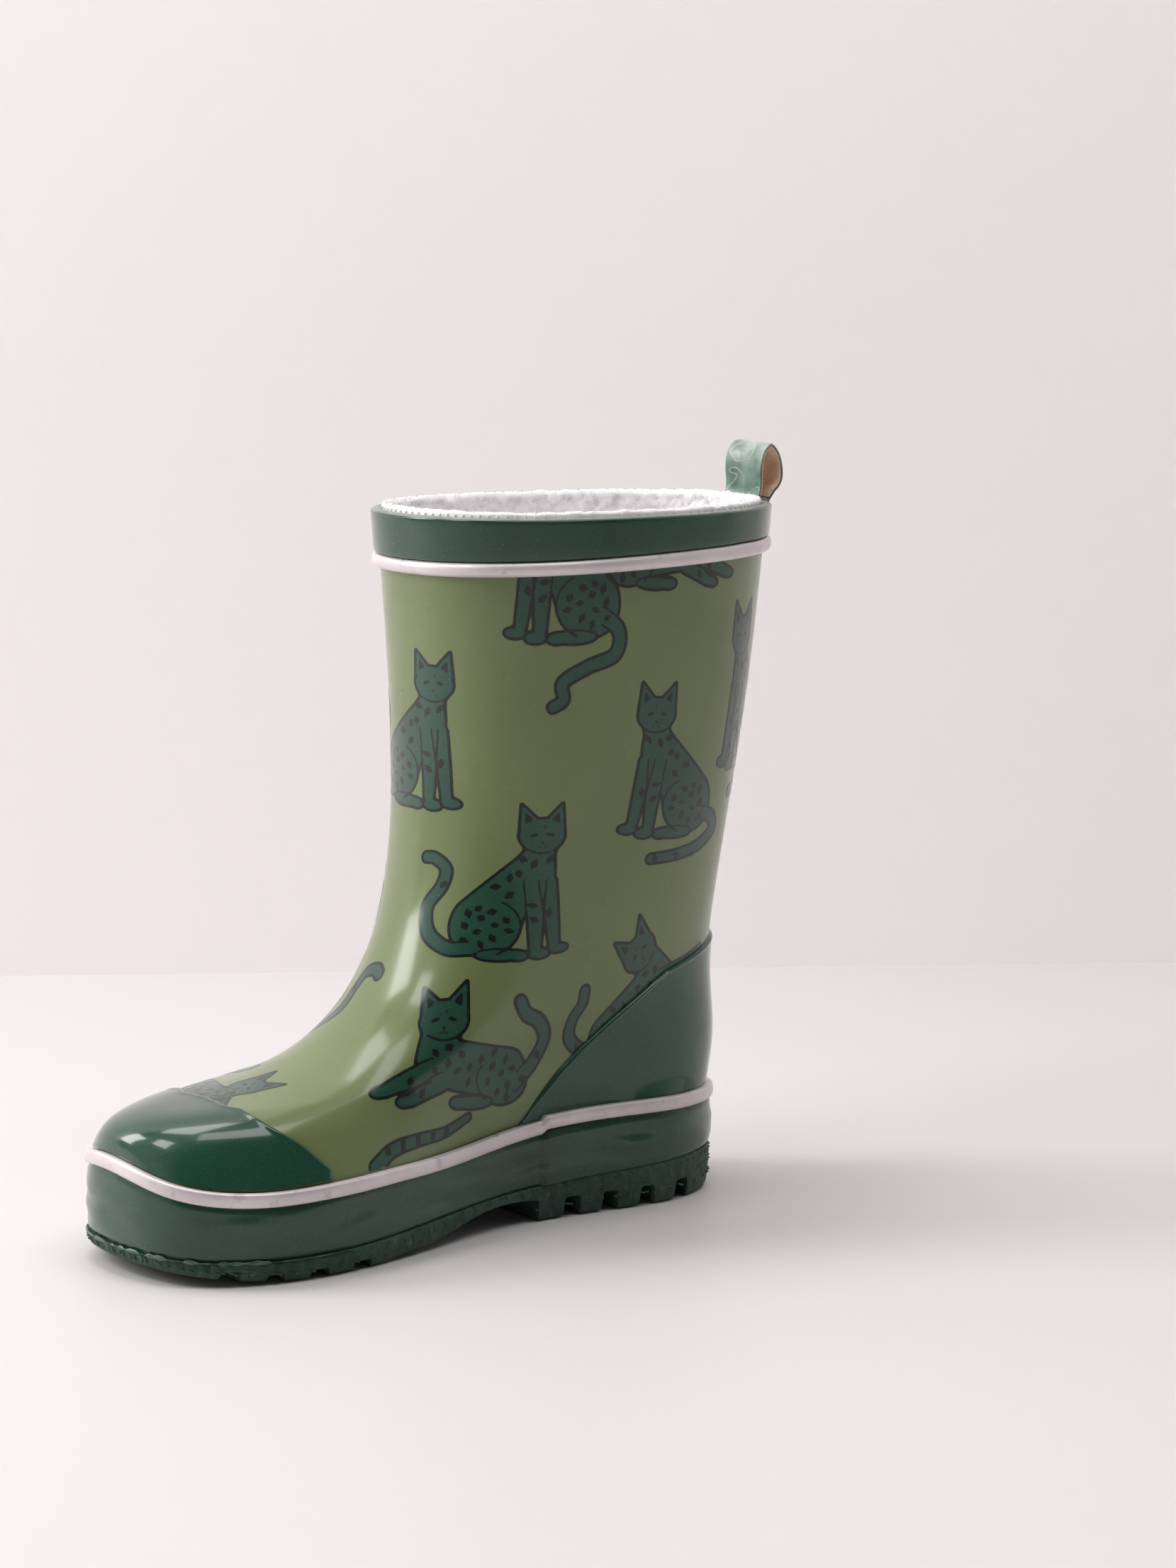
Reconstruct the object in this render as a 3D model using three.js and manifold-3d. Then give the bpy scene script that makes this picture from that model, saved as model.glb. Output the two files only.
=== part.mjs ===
// Child's pull-on rubber rain boot, right foot.
// Frame: millimetres, +Z up, toe towards -Y, heel towards +Y, inner (medial) side towards +X.
// The origin is on the ground, under the middle of the boot's box.
import * as THREE from 'three';
import Module from 'manifold-3d';

const wasm = await Module();
wasm.setup();

// ---------------------------------------------------------------- driving dimensions (mm)
const COLS = 40;            // columns round the boot
const SHELL_T = 1.4;        // rubber upper
const LINING_T = 2.4;       // textile lining
const GAP = 0.3;            // clearance kept between touching pieces
const WELT_INSET = 2.2;     // upper wall inside the sole outline
const BAND_IN = 1.5;        // back face of the foxing, inside the sole outline
const MARGIN_W = 11;        // lasting margin turned in under the foot
const FILLER_H = 5.6;       // outsole top to lasting margin
const STRIPE_H = 3.6;       // light stripe on top of the foxing
const PATCH_T = 0.8;        // toe cap and heel counter sheet
const COLLAR_T = 1.3;       // collar band
const COLLAR_STRIPE_H = 3.9;
const SHAFT_H = 190;        // ground to rim
const BOARD_T = 1.4, LINING_SOLE_T = 1.5, INSOLE_T = 3.6;
const TOE_SPRING = 4.6, TOE_SPRING_FROM = -62, TOE_SPRING_LEN = 42;
const FORE_GROOVES = [[-89, -83.4], [-77.6, -72.6], [-65.8, -59.8], [-52.4, -46.2]];
const FORE_GROOVE_D = 2.4;
const HEEL_GROOVES = [[24.6, 30.1], [36.8, 42.1], [48.9, 54.0], [61.2, 66.4]];
const HEEL_GROOVE_D = 5.6;
const ARCH = [[-41, -1], [-38.5, 1.2], [-24, 1.6], [-12, 4.6], [-2, 6.6], [8, 6.8], [16.2, 6.0], [16.8, -1]];
const STRAP_W = 16, STRAP_T = 0.7, BACKING_T = 0.5;
const LOOP_X = 2, LOOP_Y = 103.6, LOOP_Z = 190.3;   // middle of the line the pull loop flexes about, on the back of the rim
const LINING_GAP = 0.6;
const ORIGIN_SHIFT_Y = -2.53; // brings the middle of the box to y = 0

// Sole outline, one row per 15 degrees from the heel round the inner side to the toe and back:
// x, y, height of the stripe's top edge, height of the foxing's bottom edge.
const OUTLINE = [
  [0, 86, 28.6, 12.62],
  [13.8, 82.76, 28.7, 12.52],
  [22.9, 73.27, 29.1, 12.16],
  [27.2, 58.18, 29.4, 11.52],
  [26.1, 38.5, 29.2, 10.79],
  [24.9, 15.59, 27.8, 9.89],
  [28.6, -9, 25.4, 8.58],
  [35, -33.59, 24.6, 7.07],
  [38.6, -56.5, 24.3, 6.06],
  [37, -76.18, 23.9, 5.89],
  [30.8, -91.27, 24.9, 6.39],
  [19.9, -100.76, 27.6, 7.12],
  [1.4, -104, 30.5, 7.49],
  [-14.2, -100.76, 28.6, 7.13],
  [-25.2, -91.27, 26, 6.39],
  [-33, -76.18, 24.7, 5.89],
  [-37, -56.5, 24.6, 6.06],
  [-36.4, -33.59, 24.9, 7.07],
  [-32.6, -9, 25.8, 8.57],
  [-30.2, 15.59, 27.4, 9.89],
  [-30.3, 38.5, 28.6, 10.79],
  [-29.7, 58.18, 29, 11.52],
  [-24.6, 73.27, 28.8, 12.16],
  [-14.4, 82.76, 28.6, 12.52]
];
// Loft sections of the upper's outer face, from the welt up to the rim, 24 points each.
const SECTIONS = [
  [[0,83.8,28.6], [12.74,80.83,28.7], [20.97,72.22,29.1], [25.01,58.02,29.4], [23.91,38.73,29.2], [22.7,15.5,27.8], [26.46,-9.51,25.4], [32.86,-34.1,24.6], [36.4,-56.61,24.3], [34.86,-75.67,23.9], [28.94,-90.09,24.9], [19.05,-98.73,27.6], [1.4,-101.8,30.5], [-13.22,-98.79,28.6], [-23.44,-89.95,26], [-30.92,-75.46,24.7], [-34.81,-56.32,24.6], [-34.21,-33.84,24.9], [-30.42,-9.33,25.8], [-28,15.5,27.4], [-28.1,38.55,28.6], [-27.52,57.87,29], [-22.73,72.12,28.8], [-13.41,80.8,28.6]],
  [[-0.16,86.36,34.5], [11.46,83.18,34.53], [19.73,73.85,34.6], [23.58,59.01,34.72], [24.5,39.68,34.88], [25.26,17.16,35.06], [27.53,-7,35.25], [30.54,-31.16,35.44], [32.02,-53.68,35.62], [30.07,-73.01,35.78], [24.05,-87.85,35.9], [14.57,-97.18,35.97], [3.27,-100.36,36], [-7.77,-97.18,35.97], [-17.01,-87.85,35.9], [-23.83,-73.01,35.78], [-28.09,-53.68,35.62], [-29.87,-31.16,35.44], [-29.91,-7,35.25], [-29.34,17.16,35.06], [-28.62,39.68,34.88], [-26.62,59.01,34.72], [-21.42,73.85,34.6], [-12.14,83.18,34.53]],
  [[-0.17,87.35,41.23], [11.28,84.23,41.17], [19.53,75.07,41.01], [23.47,60.61,40.82], [24.73,41.92,40.72], [25.7,20.27,40.8], [27.47,-2.93,40.98], [29.26,-26.19,40.99], [29.33,-47.95,40.89], [26.36,-66.71,40.73], [20.39,-81.15,40.34], [12.63,-90.28,39.73], [4.65,-93.39,39.3], [-3.27,-90.28,39.56], [-10.82,-81.17,40.11], [-17.56,-66.75,40.56], [-23.03,-48.01,40.8], [-26.75,-26.25,40.93], [-28.65,-2.96,40.94], [-29.2,20.27,40.86], [-28.73,41.95,40.83], [-26.58,60.64,40.91], [-21.24,75.1,41.07], [-11.97,84.23,41.2]],
  [[-0.15,86.96,48.32], [11.23,84.09,48.18], [19.5,75.71,47.81], [23.65,62.42,47.25], [25.01,45.18,46.61], [25.88,25.16,45.96], [27.46,3.7,45.3], [28.92,-17.79,44.57], [28.42,-37.86,43.84], [24.97,-55.13,43.13], [19.15,-68.42,42.45], [12.37,-76.79,41.85], [5.64,-79.65,41.56], [-0.98,-76.79,41.76], [-7.75,-68.43,42.33], [-14.58,-55.16,43.04], [-20.71,-37.89,43.78], [-25.21,-17.82,44.54], [-27.76,3.68,45.28], [-28.8,25.16,45.99], [-28.63,45.19,46.67], [-26.53,62.43,47.31], [-21.14,75.72,47.84], [-11.89,84.1,48.2]],
  [[-0.13,85.85,55.79], [10.93,83.35,55.6], [19.2,76.04,55.06], [23.75,64.42,54.2], [25.58,49.28,53.1], [26.63,31.67,51.82], [28.1,12.77,50.46], [29.39,-6.14,49.09], [28.93,-23.77,47.8], [25.7,-38.91,46.68], [20.07,-50.53,45.8], [13.16,-57.84,45.23], [5.9,-60.33,45.02], [-1.38,-57.84,45.22], [-8.6,-50.53,45.78], [-15.46,-38.91,46.67], [-21.27,-23.77,47.79], [-25.38,-6.15,49.08], [-27.73,12.76,50.46], [-28.74,31.67,51.83], [-28.47,49.29,53.1], [-26.13,64.42,54.21], [-20.58,76.04,55.06], [-11.48,83.35,55.61]],
  [[-0.09,85.2,64.6], [10.39,83.08,64.39], [18.64,76.85,63.8], [23.8,66.93,62.84], [26.49,54,61.59], [28.06,38.94,60.12], [29.46,22.77,58.54], [30.45,6.61,56.97], [29.96,-8.45,55.51], [27.02,-21.38,54.26], [21.49,-31.29,53.31], [13.94,-37.52,52.73], [5.25,-39.65,52.54], [-3.64,-37.52,52.74], [-11.84,-31.29,53.32], [-18.62,-21.37,54.27], [-23.62,-8.45,55.51], [-26.87,6.61,56.97], [-28.65,22.77,58.54], [-29.23,38.94,60.12], [-28.39,54,61.58], [-25.45,66.93,62.83], [-19.62,76.85,63.79], [-10.79,83.08,64.39]],
  [[-0.05,86.16,76.76], [9.84,84.31,76.59], [18.08,78.88,76.09], [23.95,70.24,75.3], [27.66,58.97,74.26], [29.95,45.85,73.05], [31.36,31.77,71.75], [31.87,17.69,70.45], [30.91,4.57,69.24], [27.78,-6.7,68.21], [22.05,-15.34,67.42], [13.81,-20.77,66.94], [3.86,-22.62,66.77], [-6.4,-20.77,66.94], [-15.39,-15.34,67.43], [-22.14,-6.69,68.21], [-26.59,4.57,69.24], [-29.21,17.69,70.45], [-30.42,31.77,71.75], [-30.31,45.85,73.05], [-28.61,58.97,74.26], [-24.84,70.24,75.29], [-18.63,78.88,76.09], [-10.06,84.31,76.59]],
  [[-0.02,89.26,94.82], [9.51,87.53,94.73], [17.86,82.45,94.46], [24.38,74.38,94.03], [29,63.86,93.47], [32,51.62,92.82], [33.54,38.47,92.13], [33.61,25.33,91.43], [31.94,13.08,90.78], [28.13,2.56,90.22], [21.79,-5.51,89.8], [12.89,-10.58,89.53], [2.18,-12.31,89.44], [-8.79,-10.58,89.53], [-18.27,-5.51,89.8], [-25.22,2.56,90.22], [-29.64,13.08,90.78], [-32.04,25.33,91.43], [-32.79,38.47,92.13], [-31.93,51.62,92.82], [-29.29,63.86,93.47], [-24.71,74.38,94.03], [-18.07,82.45,94.46], [-9.6,87.53,94.73]],
  [[0,94.07,120.45], [9.51,92.31,120.44], [18.12,87.18,120.43], [25.16,79.01,120.4], [30.43,68.36,120.37], [33.95,55.96,120.33], [35.72,42.65,120.3], [35.58,29.35,120.26], [33.37,16.95,120.22], [28.82,6.3,120.19], [21.66,-1.87,120.16], [12,-7.01,120.15], [0.77,-8.76,120.14], [-10.58,-7.01,120.15], [-20.49,-1.87,120.16], [-27.87,6.3,120.19], [-32.59,16.94,120.22], [-35,29.35,120.26], [-35.37,42.65,120.3], [-33.83,55.96,120.33], [-30.44,68.36,120.37], [-25.22,79.01,120.4], [-18.16,87.18,120.43], [-9.52,92.31,120.44]],
  [[0,99.26,153], [9.87,97.4,153.05], [18.8,91.95,153.17], [26.19,83.28,153.37], [31.84,71.98,153.63], [35.68,58.82,153.93], [37.64,44.7,154.25], [37.53,30.58,154.57], [35.1,17.42,154.87], [30.05,6.12,155.13], [22.22,-2.55,155.33], [11.88,-8,155.45], [0,-9.86,155.5], [-11.88,-8,155.45], [-22.22,-2.55,155.33], [-30.05,6.12,155.13], [-35.1,17.42,154.87], [-37.53,30.58,154.57], [-37.64,44.7,154.25], [-35.68,58.82,153.93], [-31.84,71.98,153.63], [-26.19,83.28,153.37], [-18.8,91.95,153.17], [-9.87,97.4,153.05]],
  [[0,103,190], [10.75,101.03,190], [19.69,95.25,190], [27.24,86.06,190], [33.14,74.08,190], [37.1,60.12,190], [39,45.15,190], [39.07,30.18,190], [36.63,16.23,190], [31.38,4.24,190], [23.42,-4.95,190], [13.05,-10.73,190], [0,-12.7,190], [-13.05,-10.73,190], [-23.42,-4.95,190], [-31.38,4.24,190], [-36.63,16.22,190], [-39.07,30.18,190], [-39,45.15,190], [-37.1,60.12,190], [-33.14,74.08,190], [-27.24,86.06,190], [-19.69,95.25,190], [-10.75,101.03,190]]
];

// ---------------------------------------------------------------- splines
const NS = 24;
function invert(A) {
  const n = A.length, M = A.map((r, i) => [...r, ...r.map((_, j) => (i === j ? 1 : 0))]);
  for (let c = 0; c < n; c++) {
    let p = c;
    for (let r = c + 1; r < n; r++) if (Math.abs(M[r][c]) > Math.abs(M[p][c])) p = r;
    [M[c], M[p]] = [M[p], M[c]];
    const d = M[c][c];
    for (let j = 0; j < 2 * n; j++) M[c][j] /= d;
    for (let r = 0; r < n; r++) if (r !== c) {
      const f = M[r][c];
      if (f) for (let j = 0; j < 2 * n; j++) M[r][j] -= f * M[c][j];
    }
  }
  return M.map(r => r.slice(n));
}
const mul = (A, b) => A.map(r => r.reduce((s, a, j) => s + a * b[j], 0));
const zeros = n => Array.from({ length: n }, () => new Array(n).fill(0));

// closed cubic spline through 24 evenly spaced values
const PINV = (() => {
  const A = zeros(NS);
  for (let i = 0; i < NS; i++) { A[i][i] = 4; A[i][(i + 1) % NS] += 1; A[i][(i + NS - 1) % NS] += 1; }
  return invert(A);
})();
function closedSpline(vals) {
  const m = mul(PINV, vals.map((v, i) => 6 * (vals[(i + 1) % NS] - 2 * v + vals[(i + NS - 1) % NS])));
  return th => {
    let t = (th / (2 * Math.PI)) * NS; t = ((t % NS) + NS) % NS;
    const i = Math.floor(t) % NS, j = (i + 1) % NS, b = t - Math.floor(t), a = 1 - b;
    return a * vals[i] + b * vals[j] + ((a * a * a - a) * m[i] + (b * b * b - b) * m[j]) / 6;
  };
}
// open natural cubic spline over the section knots
const K = SECTIONS.length;
const KNOT = (() => {
  const s = [0];
  for (let k = 1; k < K; k++) {
    let d = 0;
    for (let i = 0; i < NS; i++) d += Math.hypot(...SECTIONS[k][i].map((v, c) => v - SECTIONS[k - 1][i][c])) / NS;
    s.push(s[k - 1] + d);
  }
  return s.map(v => v / s[K - 1]);
})();
const NINV = (() => {
  const A = zeros(K); A[0][0] = 1; A[K - 1][K - 1] = 1;
  for (let i = 1; i < K - 1; i++) {
    const h0 = KNOT[i] - KNOT[i - 1], h1 = KNOT[i + 1] - KNOT[i];
    A[i][i - 1] = h0; A[i][i] = 2 * (h0 + h1); A[i][i + 1] = h1;
  }
  return invert(A);
})();
function knotSpline(vals) {
  const rhs = vals.map((v, i) => (i === 0 || i === K - 1 ? 0
    : 6 * ((vals[i + 1] - v) / (KNOT[i + 1] - KNOT[i]) - (v - vals[i - 1]) / (KNOT[i] - KNOT[i - 1]))));
  const m = mul(NINV, rhs);
  return t => {
    let i = 0; while (i < K - 2 && t > KNOT[i + 1]) i++;
    const h = KNOT[i + 1] - KNOT[i], a = (KNOT[i + 1] - t) / h, b = 1 - a;
    return a * vals[i] + b * vals[i + 1] + ((a * a * a - a) * m[i] + (b * b * b - b) * m[i + 1]) * h * h / 6;
  };
}
const outX = closedSpline(OUTLINE.map(p => p[0])), outY = closedSpline(OUTLINE.map(p => p[1]));
const stripeTop = closedSpline(OUTLINE.map(p => p[2])), foxBottom = closedSpline(OUTLINE.map(p => p[3]));
const rowSplines = SECTIONS.map(row => [0, 1, 2].map(c => closedSpline(row.map(p => p[c]))));
const columns = new Map();
function column(th) {
  const key = th.toFixed(6);
  if (!columns.has(key)) columns.set(key, [0, 1, 2].map(c => knotSpline(rowSplines.map(r => r[c](th)))));
  return columns.get(key);
}
// point on the upper at column angle th and height parameter v, moved out along the normal
function upper(th, v, off = 0) {
  const P = (a, b) => { const c = column(a); return new THREE.Vector3(c[0](b), c[1](b), c[2](b)); };
  const p = P(th, v);
  if (off === 0) return p;
  const e = 2e-3, v0 = v - e, v1 = v + e;
  const du = P(th + e, v).sub(P(th - e, v)), dv = P(th, v1).sub(P(th, v0));
  const n = dv.cross(du).normalize();
  return p.addScaledVector(n, off);
}
// point on the sole outline moved in by an inset
function outline(th, inset, z) {
  const e = 1e-3;
  const tx = outX(th + e) - outX(th - e), ty = outY(th + e) - outY(th - e), l = Math.hypot(tx, ty);
  // columns run heel, inner side, toe, outer side: the outward normal is on the left hand
  return new THREE.Vector3(outX(th) + (ty / l) * inset, outY(th) - (tx / l) * inset, z);
}
const TH = Array.from({ length: COLS }, (_, i) => (2 * Math.PI * i) / COLS);
// height of the lasted upper's underside at a station along the foot
const BED = OUTLINE.slice(0, 13).map(p => [p[1], p[3] + FILLER_H]).reverse();
function bed(y) {
  if (y <= BED[0][0]) return BED[0][1];
  for (let i = 1; i < BED.length; i++) if (y <= BED[i][0]) {
    const [y0, z0] = BED[i - 1], [y1, z1] = BED[i];
    return z0 + (z1 - z0) * (y - y0) / (y1 - y0);
  }
  return BED[BED.length - 1][1];
}
const onBed = (th, inset, dz) => { const p = outline(th, inset, 0); p.z = bed(p.y) + dz; return p; };
const soleZ = y => (y < TOE_SPRING_FROM ? TOE_SPRING * ((TOE_SPRING_FROM - y) / TOE_SPRING_LEN) ** 2 : 0);

// ---------------------------------------------------------------- mesh helpers
function meshFrom(points, faces) {
  const g = new THREE.BufferGeometry();
  g.setAttribute('position', new THREE.Float32BufferAttribute(points.flatMap(p => [p.x, p.y, p.z]), 3));
  g.setIndex(faces.flat());
  return g;
}
function signedVolume(points, faces) {
  let s = 0;
  for (const [a, b, c] of faces) s += points[a].dot(new THREE.Vector3().crossVectors(points[b], points[c]));
  return s / 6;
}
function outward(points, faces) {
  if (signedVolume(points, faces) < 0) faces = faces.map(([a, b, c]) => [a, c, b]);
  return meshFrom(points, faces);
}
// rings of equal length; open stack with ladder caps, or a closed loop of rings
function rings(list, closed = false) {
  const n = list[0].length, pts = list.flat(), f = [];
  const m = list.length, last = closed ? m : m - 1;
  for (let r = 0; r < last; r++) for (let i = 0; i < n; i++) {
    const a = r * n + i, b = r * n + (i + 1) % n, c = ((r + 1) % m) * n + (i + 1) % n, d = ((r + 1) % m) * n + i;
    f.push([a, b, c], [a, c, d]);
  }
  if (!closed) {
    const cap = (o, flip) => {
      for (let i = 0; i < n / 2; i++) {
        const q = [o + i, o + i + 1, o + (n - i - 1) % n, o + (n - i) % n];
        const tri = i === 0 ? [[q[0], q[1], q[2]]] : i === n / 2 - 1 ? [[q[0], q[1], q[3]]] : [[q[0], q[1], q[2]], [q[0], q[2], q[3]]];
        for (const t of tri) f.push(flip ? [t[0], t[2], t[1]] : t);
      }
    };
    cap(0, true); cap((m - 1) * n, false);
  }
  return outward(pts, f);
}
// slab of nu x nv points with two faces
function slab(inner, outer) {
  const nu = inner.length, nv = inner[0].length, pts = [...inner.flat(), ...outer.flat()], o = nu * nv, f = [];
  const q = (a, b, c, d) => f.push([a, b, c], [a, c, d]);
  for (let i = 0; i < nu - 1; i++) for (let j = 0; j < nv - 1; j++) {
    const a = i * nv + j, b = a + nv, c = b + 1, d = a + 1;
    q(a, d, c, b); q(o + a, o + b, o + c, o + d);
  }
  for (let i = 0; i < nu - 1; i++) {
    const a = i * nv, b = a + nv; q(a, b, o + b, o + a);
    const c = a + nv - 1, d = b + nv - 1; q(c, o + c, o + d, d);
  }
  for (let j = 0; j < nv - 1; j++) {
    const a = j, b = j + 1; q(a, o + a, o + b, b);
    const c = (nu - 1) * nv + j, d = c + 1; q(c, d, o + d, o + c);
  }
  return outward(pts, f);
}
function patch(grid, inOff, outOff) {
  return slab(grid.map(r => r.map(([th, v]) => upper(th, v, inOff))), grid.map(r => r.map(([th, v]) => upper(th, v, outOff))));
}
function solid(g) {
  g = g.index ? g : g;
  const pos = g.getAttribute('position').array, idx = g.index.array;
  const map = new Map(), vp = [], remap = [];
  for (let i = 0; i < pos.length / 3; i++) {
    const k = [0, 1, 2].map(c => Math.round(pos[3 * i + c] * 1e4)).join(',');
    if (!map.has(k)) { map.set(k, vp.length / 3); vp.push(pos[3 * i], pos[3 * i + 1], pos[3 * i + 2]); }
    remap.push(map.get(k));
  }
  const tri = [];
  for (let i = 0; i < idx.length; i += 3) {
    const t = [remap[idx[i]], remap[idx[i + 1]], remap[idx[i + 2]]];
    if (t[0] !== t[1] && t[1] !== t[2] && t[0] !== t[2]) tri.push(...t);
  }
  return new wasm.Manifold(new wasm.Mesh({ numProp: 3, vertProperties: new Float32Array(vp), triVerts: new Uint32Array(tri) }));
}
function unsolid(m) {
  const mesh = m.getMesh(), g = new THREE.BufferGeometry();
  g.setAttribute('position', new THREE.Float32BufferAttribute(mesh.vertProperties, 3));
  g.setIndex([...mesh.triVerts]);
  return g;
}
function box(x0, x1, y0, y1, z0, z1) {
  const g = new THREE.BoxGeometry(x1 - x0, y1 - y0, z1 - z0);
  g.translate((x0 + x1) / 2, (y0 + y1) / 2, (z0 + z1) / 2);
  return solid(g);
}
function prismX(profile, x0, x1) {   // profile in (y, z), pushed along X
  const s = new THREE.Shape(profile.map(([y, z]) => new THREE.Vector2(y, z)));
  const g = new THREE.ExtrudeGeometry(s, { depth: x1 - x0, bevelEnabled: false });
  g.deleteAttribute('uv'); g.deleteAttribute('normal');
  g.applyMatrix4(new THREE.Matrix4().set(0, 0, 1, x0, 1, 0, 0, 0, 0, 1, 0, 0, 0, 0, 0, 1));
  const n = g.getAttribute('position').count;
  if (!g.index) g.setIndex([...Array(n).keys()]);
  return g;
}
const biggest = m => m.decompose().sort((a, b) => b.volume() - a.volume())[0];

// ---------------------------------------------------------------- shared surfaces
const V = [0, 0.025, 0.05, 0.08, 0.11, 0.145, 0.18, 0.22, 0.27, 0.33, 0.4, 0.49, 0.6, 0.72, 0.85, 0.93, 1];
const ring = f => TH.map(f);
const wallRings = off => V.map(v => ring(th => upper(th, v, off)));
const lowRings = (d) => [   // from the wall down and in under the foot; d is the wall thickness already used
  ring(th => onBed(th, WELT_INSET + 0.3 + d, 2.6 + d * 0.5)),
  ring(th => onBed(th, WELT_INSET + 2.6 + d * 0.6, d)),
];
function upperShell(outOff, inOff) {
  const t = -inOff;
  const outer = [
    ring(th => onBed(th, WELT_INSET + 2.6 + MARGIN_W, -outOff)),
    ring(th => onBed(th, WELT_INSET + 2.6 - outOff * 0.6, -outOff)),
    ring(th => onBed(th, WELT_INSET + 0.3 - outOff, 2.6)),
    ...wallRings(outOff)];
  const inner = [
    ...wallRings(inOff).reverse(),
    ring(th => onBed(th, WELT_INSET + 0.3 + t, 2.6 + t * 0.5)),
    ring(th => onBed(th, WELT_INSET + 2.6 + t * 0.6, t)),
    ring(th => onBed(th, WELT_INSET + 2.6 + MARGIN_W, t))];
  return rings([...outer, ...inner], true);
}
const upperPlus = solid(rings([            // filled envelope of the upper, grown by the clearance
  ring(th => onBed(th, WELT_INSET + 2.6 - GAP * 0.6, -GAP)),
  ring(th => onBed(th, WELT_INSET + 0.3 - GAP, 2.6)),
  ...wallRings(GAP)]));
const shellPlus = solid(upperShell(0, -SHELL_T - GAP));

// ---------------------------------------------------------------- pieces
const pieces = {};
pieces.upper_shell = upperShell(0, -SHELL_T);

// outsole: tread blocks, raised arch, block heel
{
  let s = solid(rings([
    ring(th => { const p = outline(th, 1.6, 0); p.z = soleZ(p.y); return p; }),
    ring(th => { const p = outline(th, 0.5, 0); p.z = Math.min(soleZ(p.y) + 1.2, foxBottom(th) - 1); return p; }),
    ring(th => outline(th, 0.5, foxBottom(th) - GAP))]));
  for (const [a, b] of FORE_GROOVES) s = s.subtract(box(-60, 60, a, b, -5, FORE_GROOVE_D + (a < -80 ? 1.6 : 0)));
  for (const [a, b] of HEEL_GROOVES) s = s.subtract(box(-60, 60, a, b, -5, HEEL_GROOVE_D));
  s = s.subtract(solid(prismX(ARCH, -60, 60)));
  s = s.subtract(box(-2.5, 2.5, -83, -44, -5, FORE_GROOVE_D));
  s = s.subtract(box(-2.5, 2.5, 22, 68, -5, HEEL_GROOVE_D));
  pieces.outsole = unsolid(biggest(s));
}
// foxing: the thick band round the sole edge
pieces.foxing_tape = rings([
  ring(th => outline(th, BAND_IN, foxBottom(th))),
  ring(th => outline(th, 0.25, foxBottom(th))),
  ring(th => outline(th, -0.1, foxBottom(th) + 3)),
  ring(th => outline(th, 0.15, stripeTop(th) - STRIPE_H - GAP)),
  ring(th => outline(th, BAND_IN, stripeTop(th) - STRIPE_H - GAP))], true);
pieces.foxing_stripe = rings([
  ring(th => outline(th, BAND_IN, stripeTop(th) - STRIPE_H)),
  ring(th => outline(th, 0.3, stripeTop(th) - STRIPE_H)),
  ring(th => outline(th, -0.35, stripeTop(th) - STRIPE_H + 0.8)),
  ring(th => outline(th, -0.35, stripeTop(th) - 0.8)),
  ring(th => outline(th, 0.4, stripeTop(th))),
  ring(th => outline(th, BAND_IN, stripeTop(th)))], true);

const rad = Math.PI / 180;
const lerpTab = (tab, x) => {
  if (x <= tab[0][0]) return tab[0][1];
  for (let i = 1; i < tab.length; i++) if (x <= tab[i][0]) {
    const [x0, y0] = tab[i - 1], [x1, y1] = tab[i];
    return y0 + (y1 - y0) * (x - x0) / (x1 - x0);
  }
  return tab[tab.length - 1][1];
};
const vLow = th => 0.05 * 0.7 / Math.max(upper(th, 0.05).z - stripeTop(th), 1);   // just above the stripe
// toe cap: edge height v against the angle from the toe line, in degrees
const CAP_EDGE = [[0, 0.15], [12, 0.143], [31, 0.112], [39, 0.085], [44, 0.066], [48, 0.053], [52, 0.040], [55, 0.027], [57.5, 0.016], [59, 0.010]];
{
  const grid = [];
  for (let i = 0; i <= 26; i++) {
    const a = -58.5 + (117 * i) / 26, th = Math.PI - a * rad, lo = vLow(th), hi = Math.max(lerpTab(CAP_EDGE, Math.abs(a)), lo + 0.006);
    grid.push([0, 1, 2, 3, 4, 5, 6].map(j => [th, lo + (hi - lo) * j / 6]));
  }
  pieces.toe_cap = unsolid(biggest(solid(patch(grid, -0.7, GAP + PATCH_T)).subtract(upperPlus)));
}
// heel counter: half-width in degrees against v, rounded over at the back
const COUNTER_EDGE = [[0, 78.5], [0.018, 77.5], [0.048, 76.5], [0.078, 75.3], [0.11, 74.2], [0.15, 73.4], [0.185, 72.3], [0.216, 70.8], [0.238, 69], [0.263, 66], [0.285, 62.5], [0.3, 58]];
{
  const grid = [];
  for (let i = 0; i <= 24; i++) {
    const a = -1 + (2 * i) / 24, col = [];
    for (let j = 0; j <= 9; j++) {
      const b = j / 9, vs = 0.3 * b, half = lerpTab(COUNTER_EDGE, vs), th = a * half * rad;
      const lo = vLow(th);
      col.push([th, Math.max(vs, lo * (1 - b) + vs * b) + b * b * b * 0.034 * (1 - a * a)]);
    }
    grid.push(col);
  }
  pieces.heel_counter = unsolid(biggest(solid(patch(grid, -0.7, GAP + PATCH_T)).subtract(upperPlus)));
}
// strip over the back seam
{
  const grid = [];
  for (const a of [-3.4, -1.2, 1.2, 3.4]) grid.push([0.345, 0.4, 0.46, 0.54, 0.63, 0.72, 0.81, 0.905].map(v => [a * rad, v]));
  pieces.back_strip = unsolid(biggest(solid(patch(grid, -0.5, GAP + 0.6)).subtract(upperPlus)));
}
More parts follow.
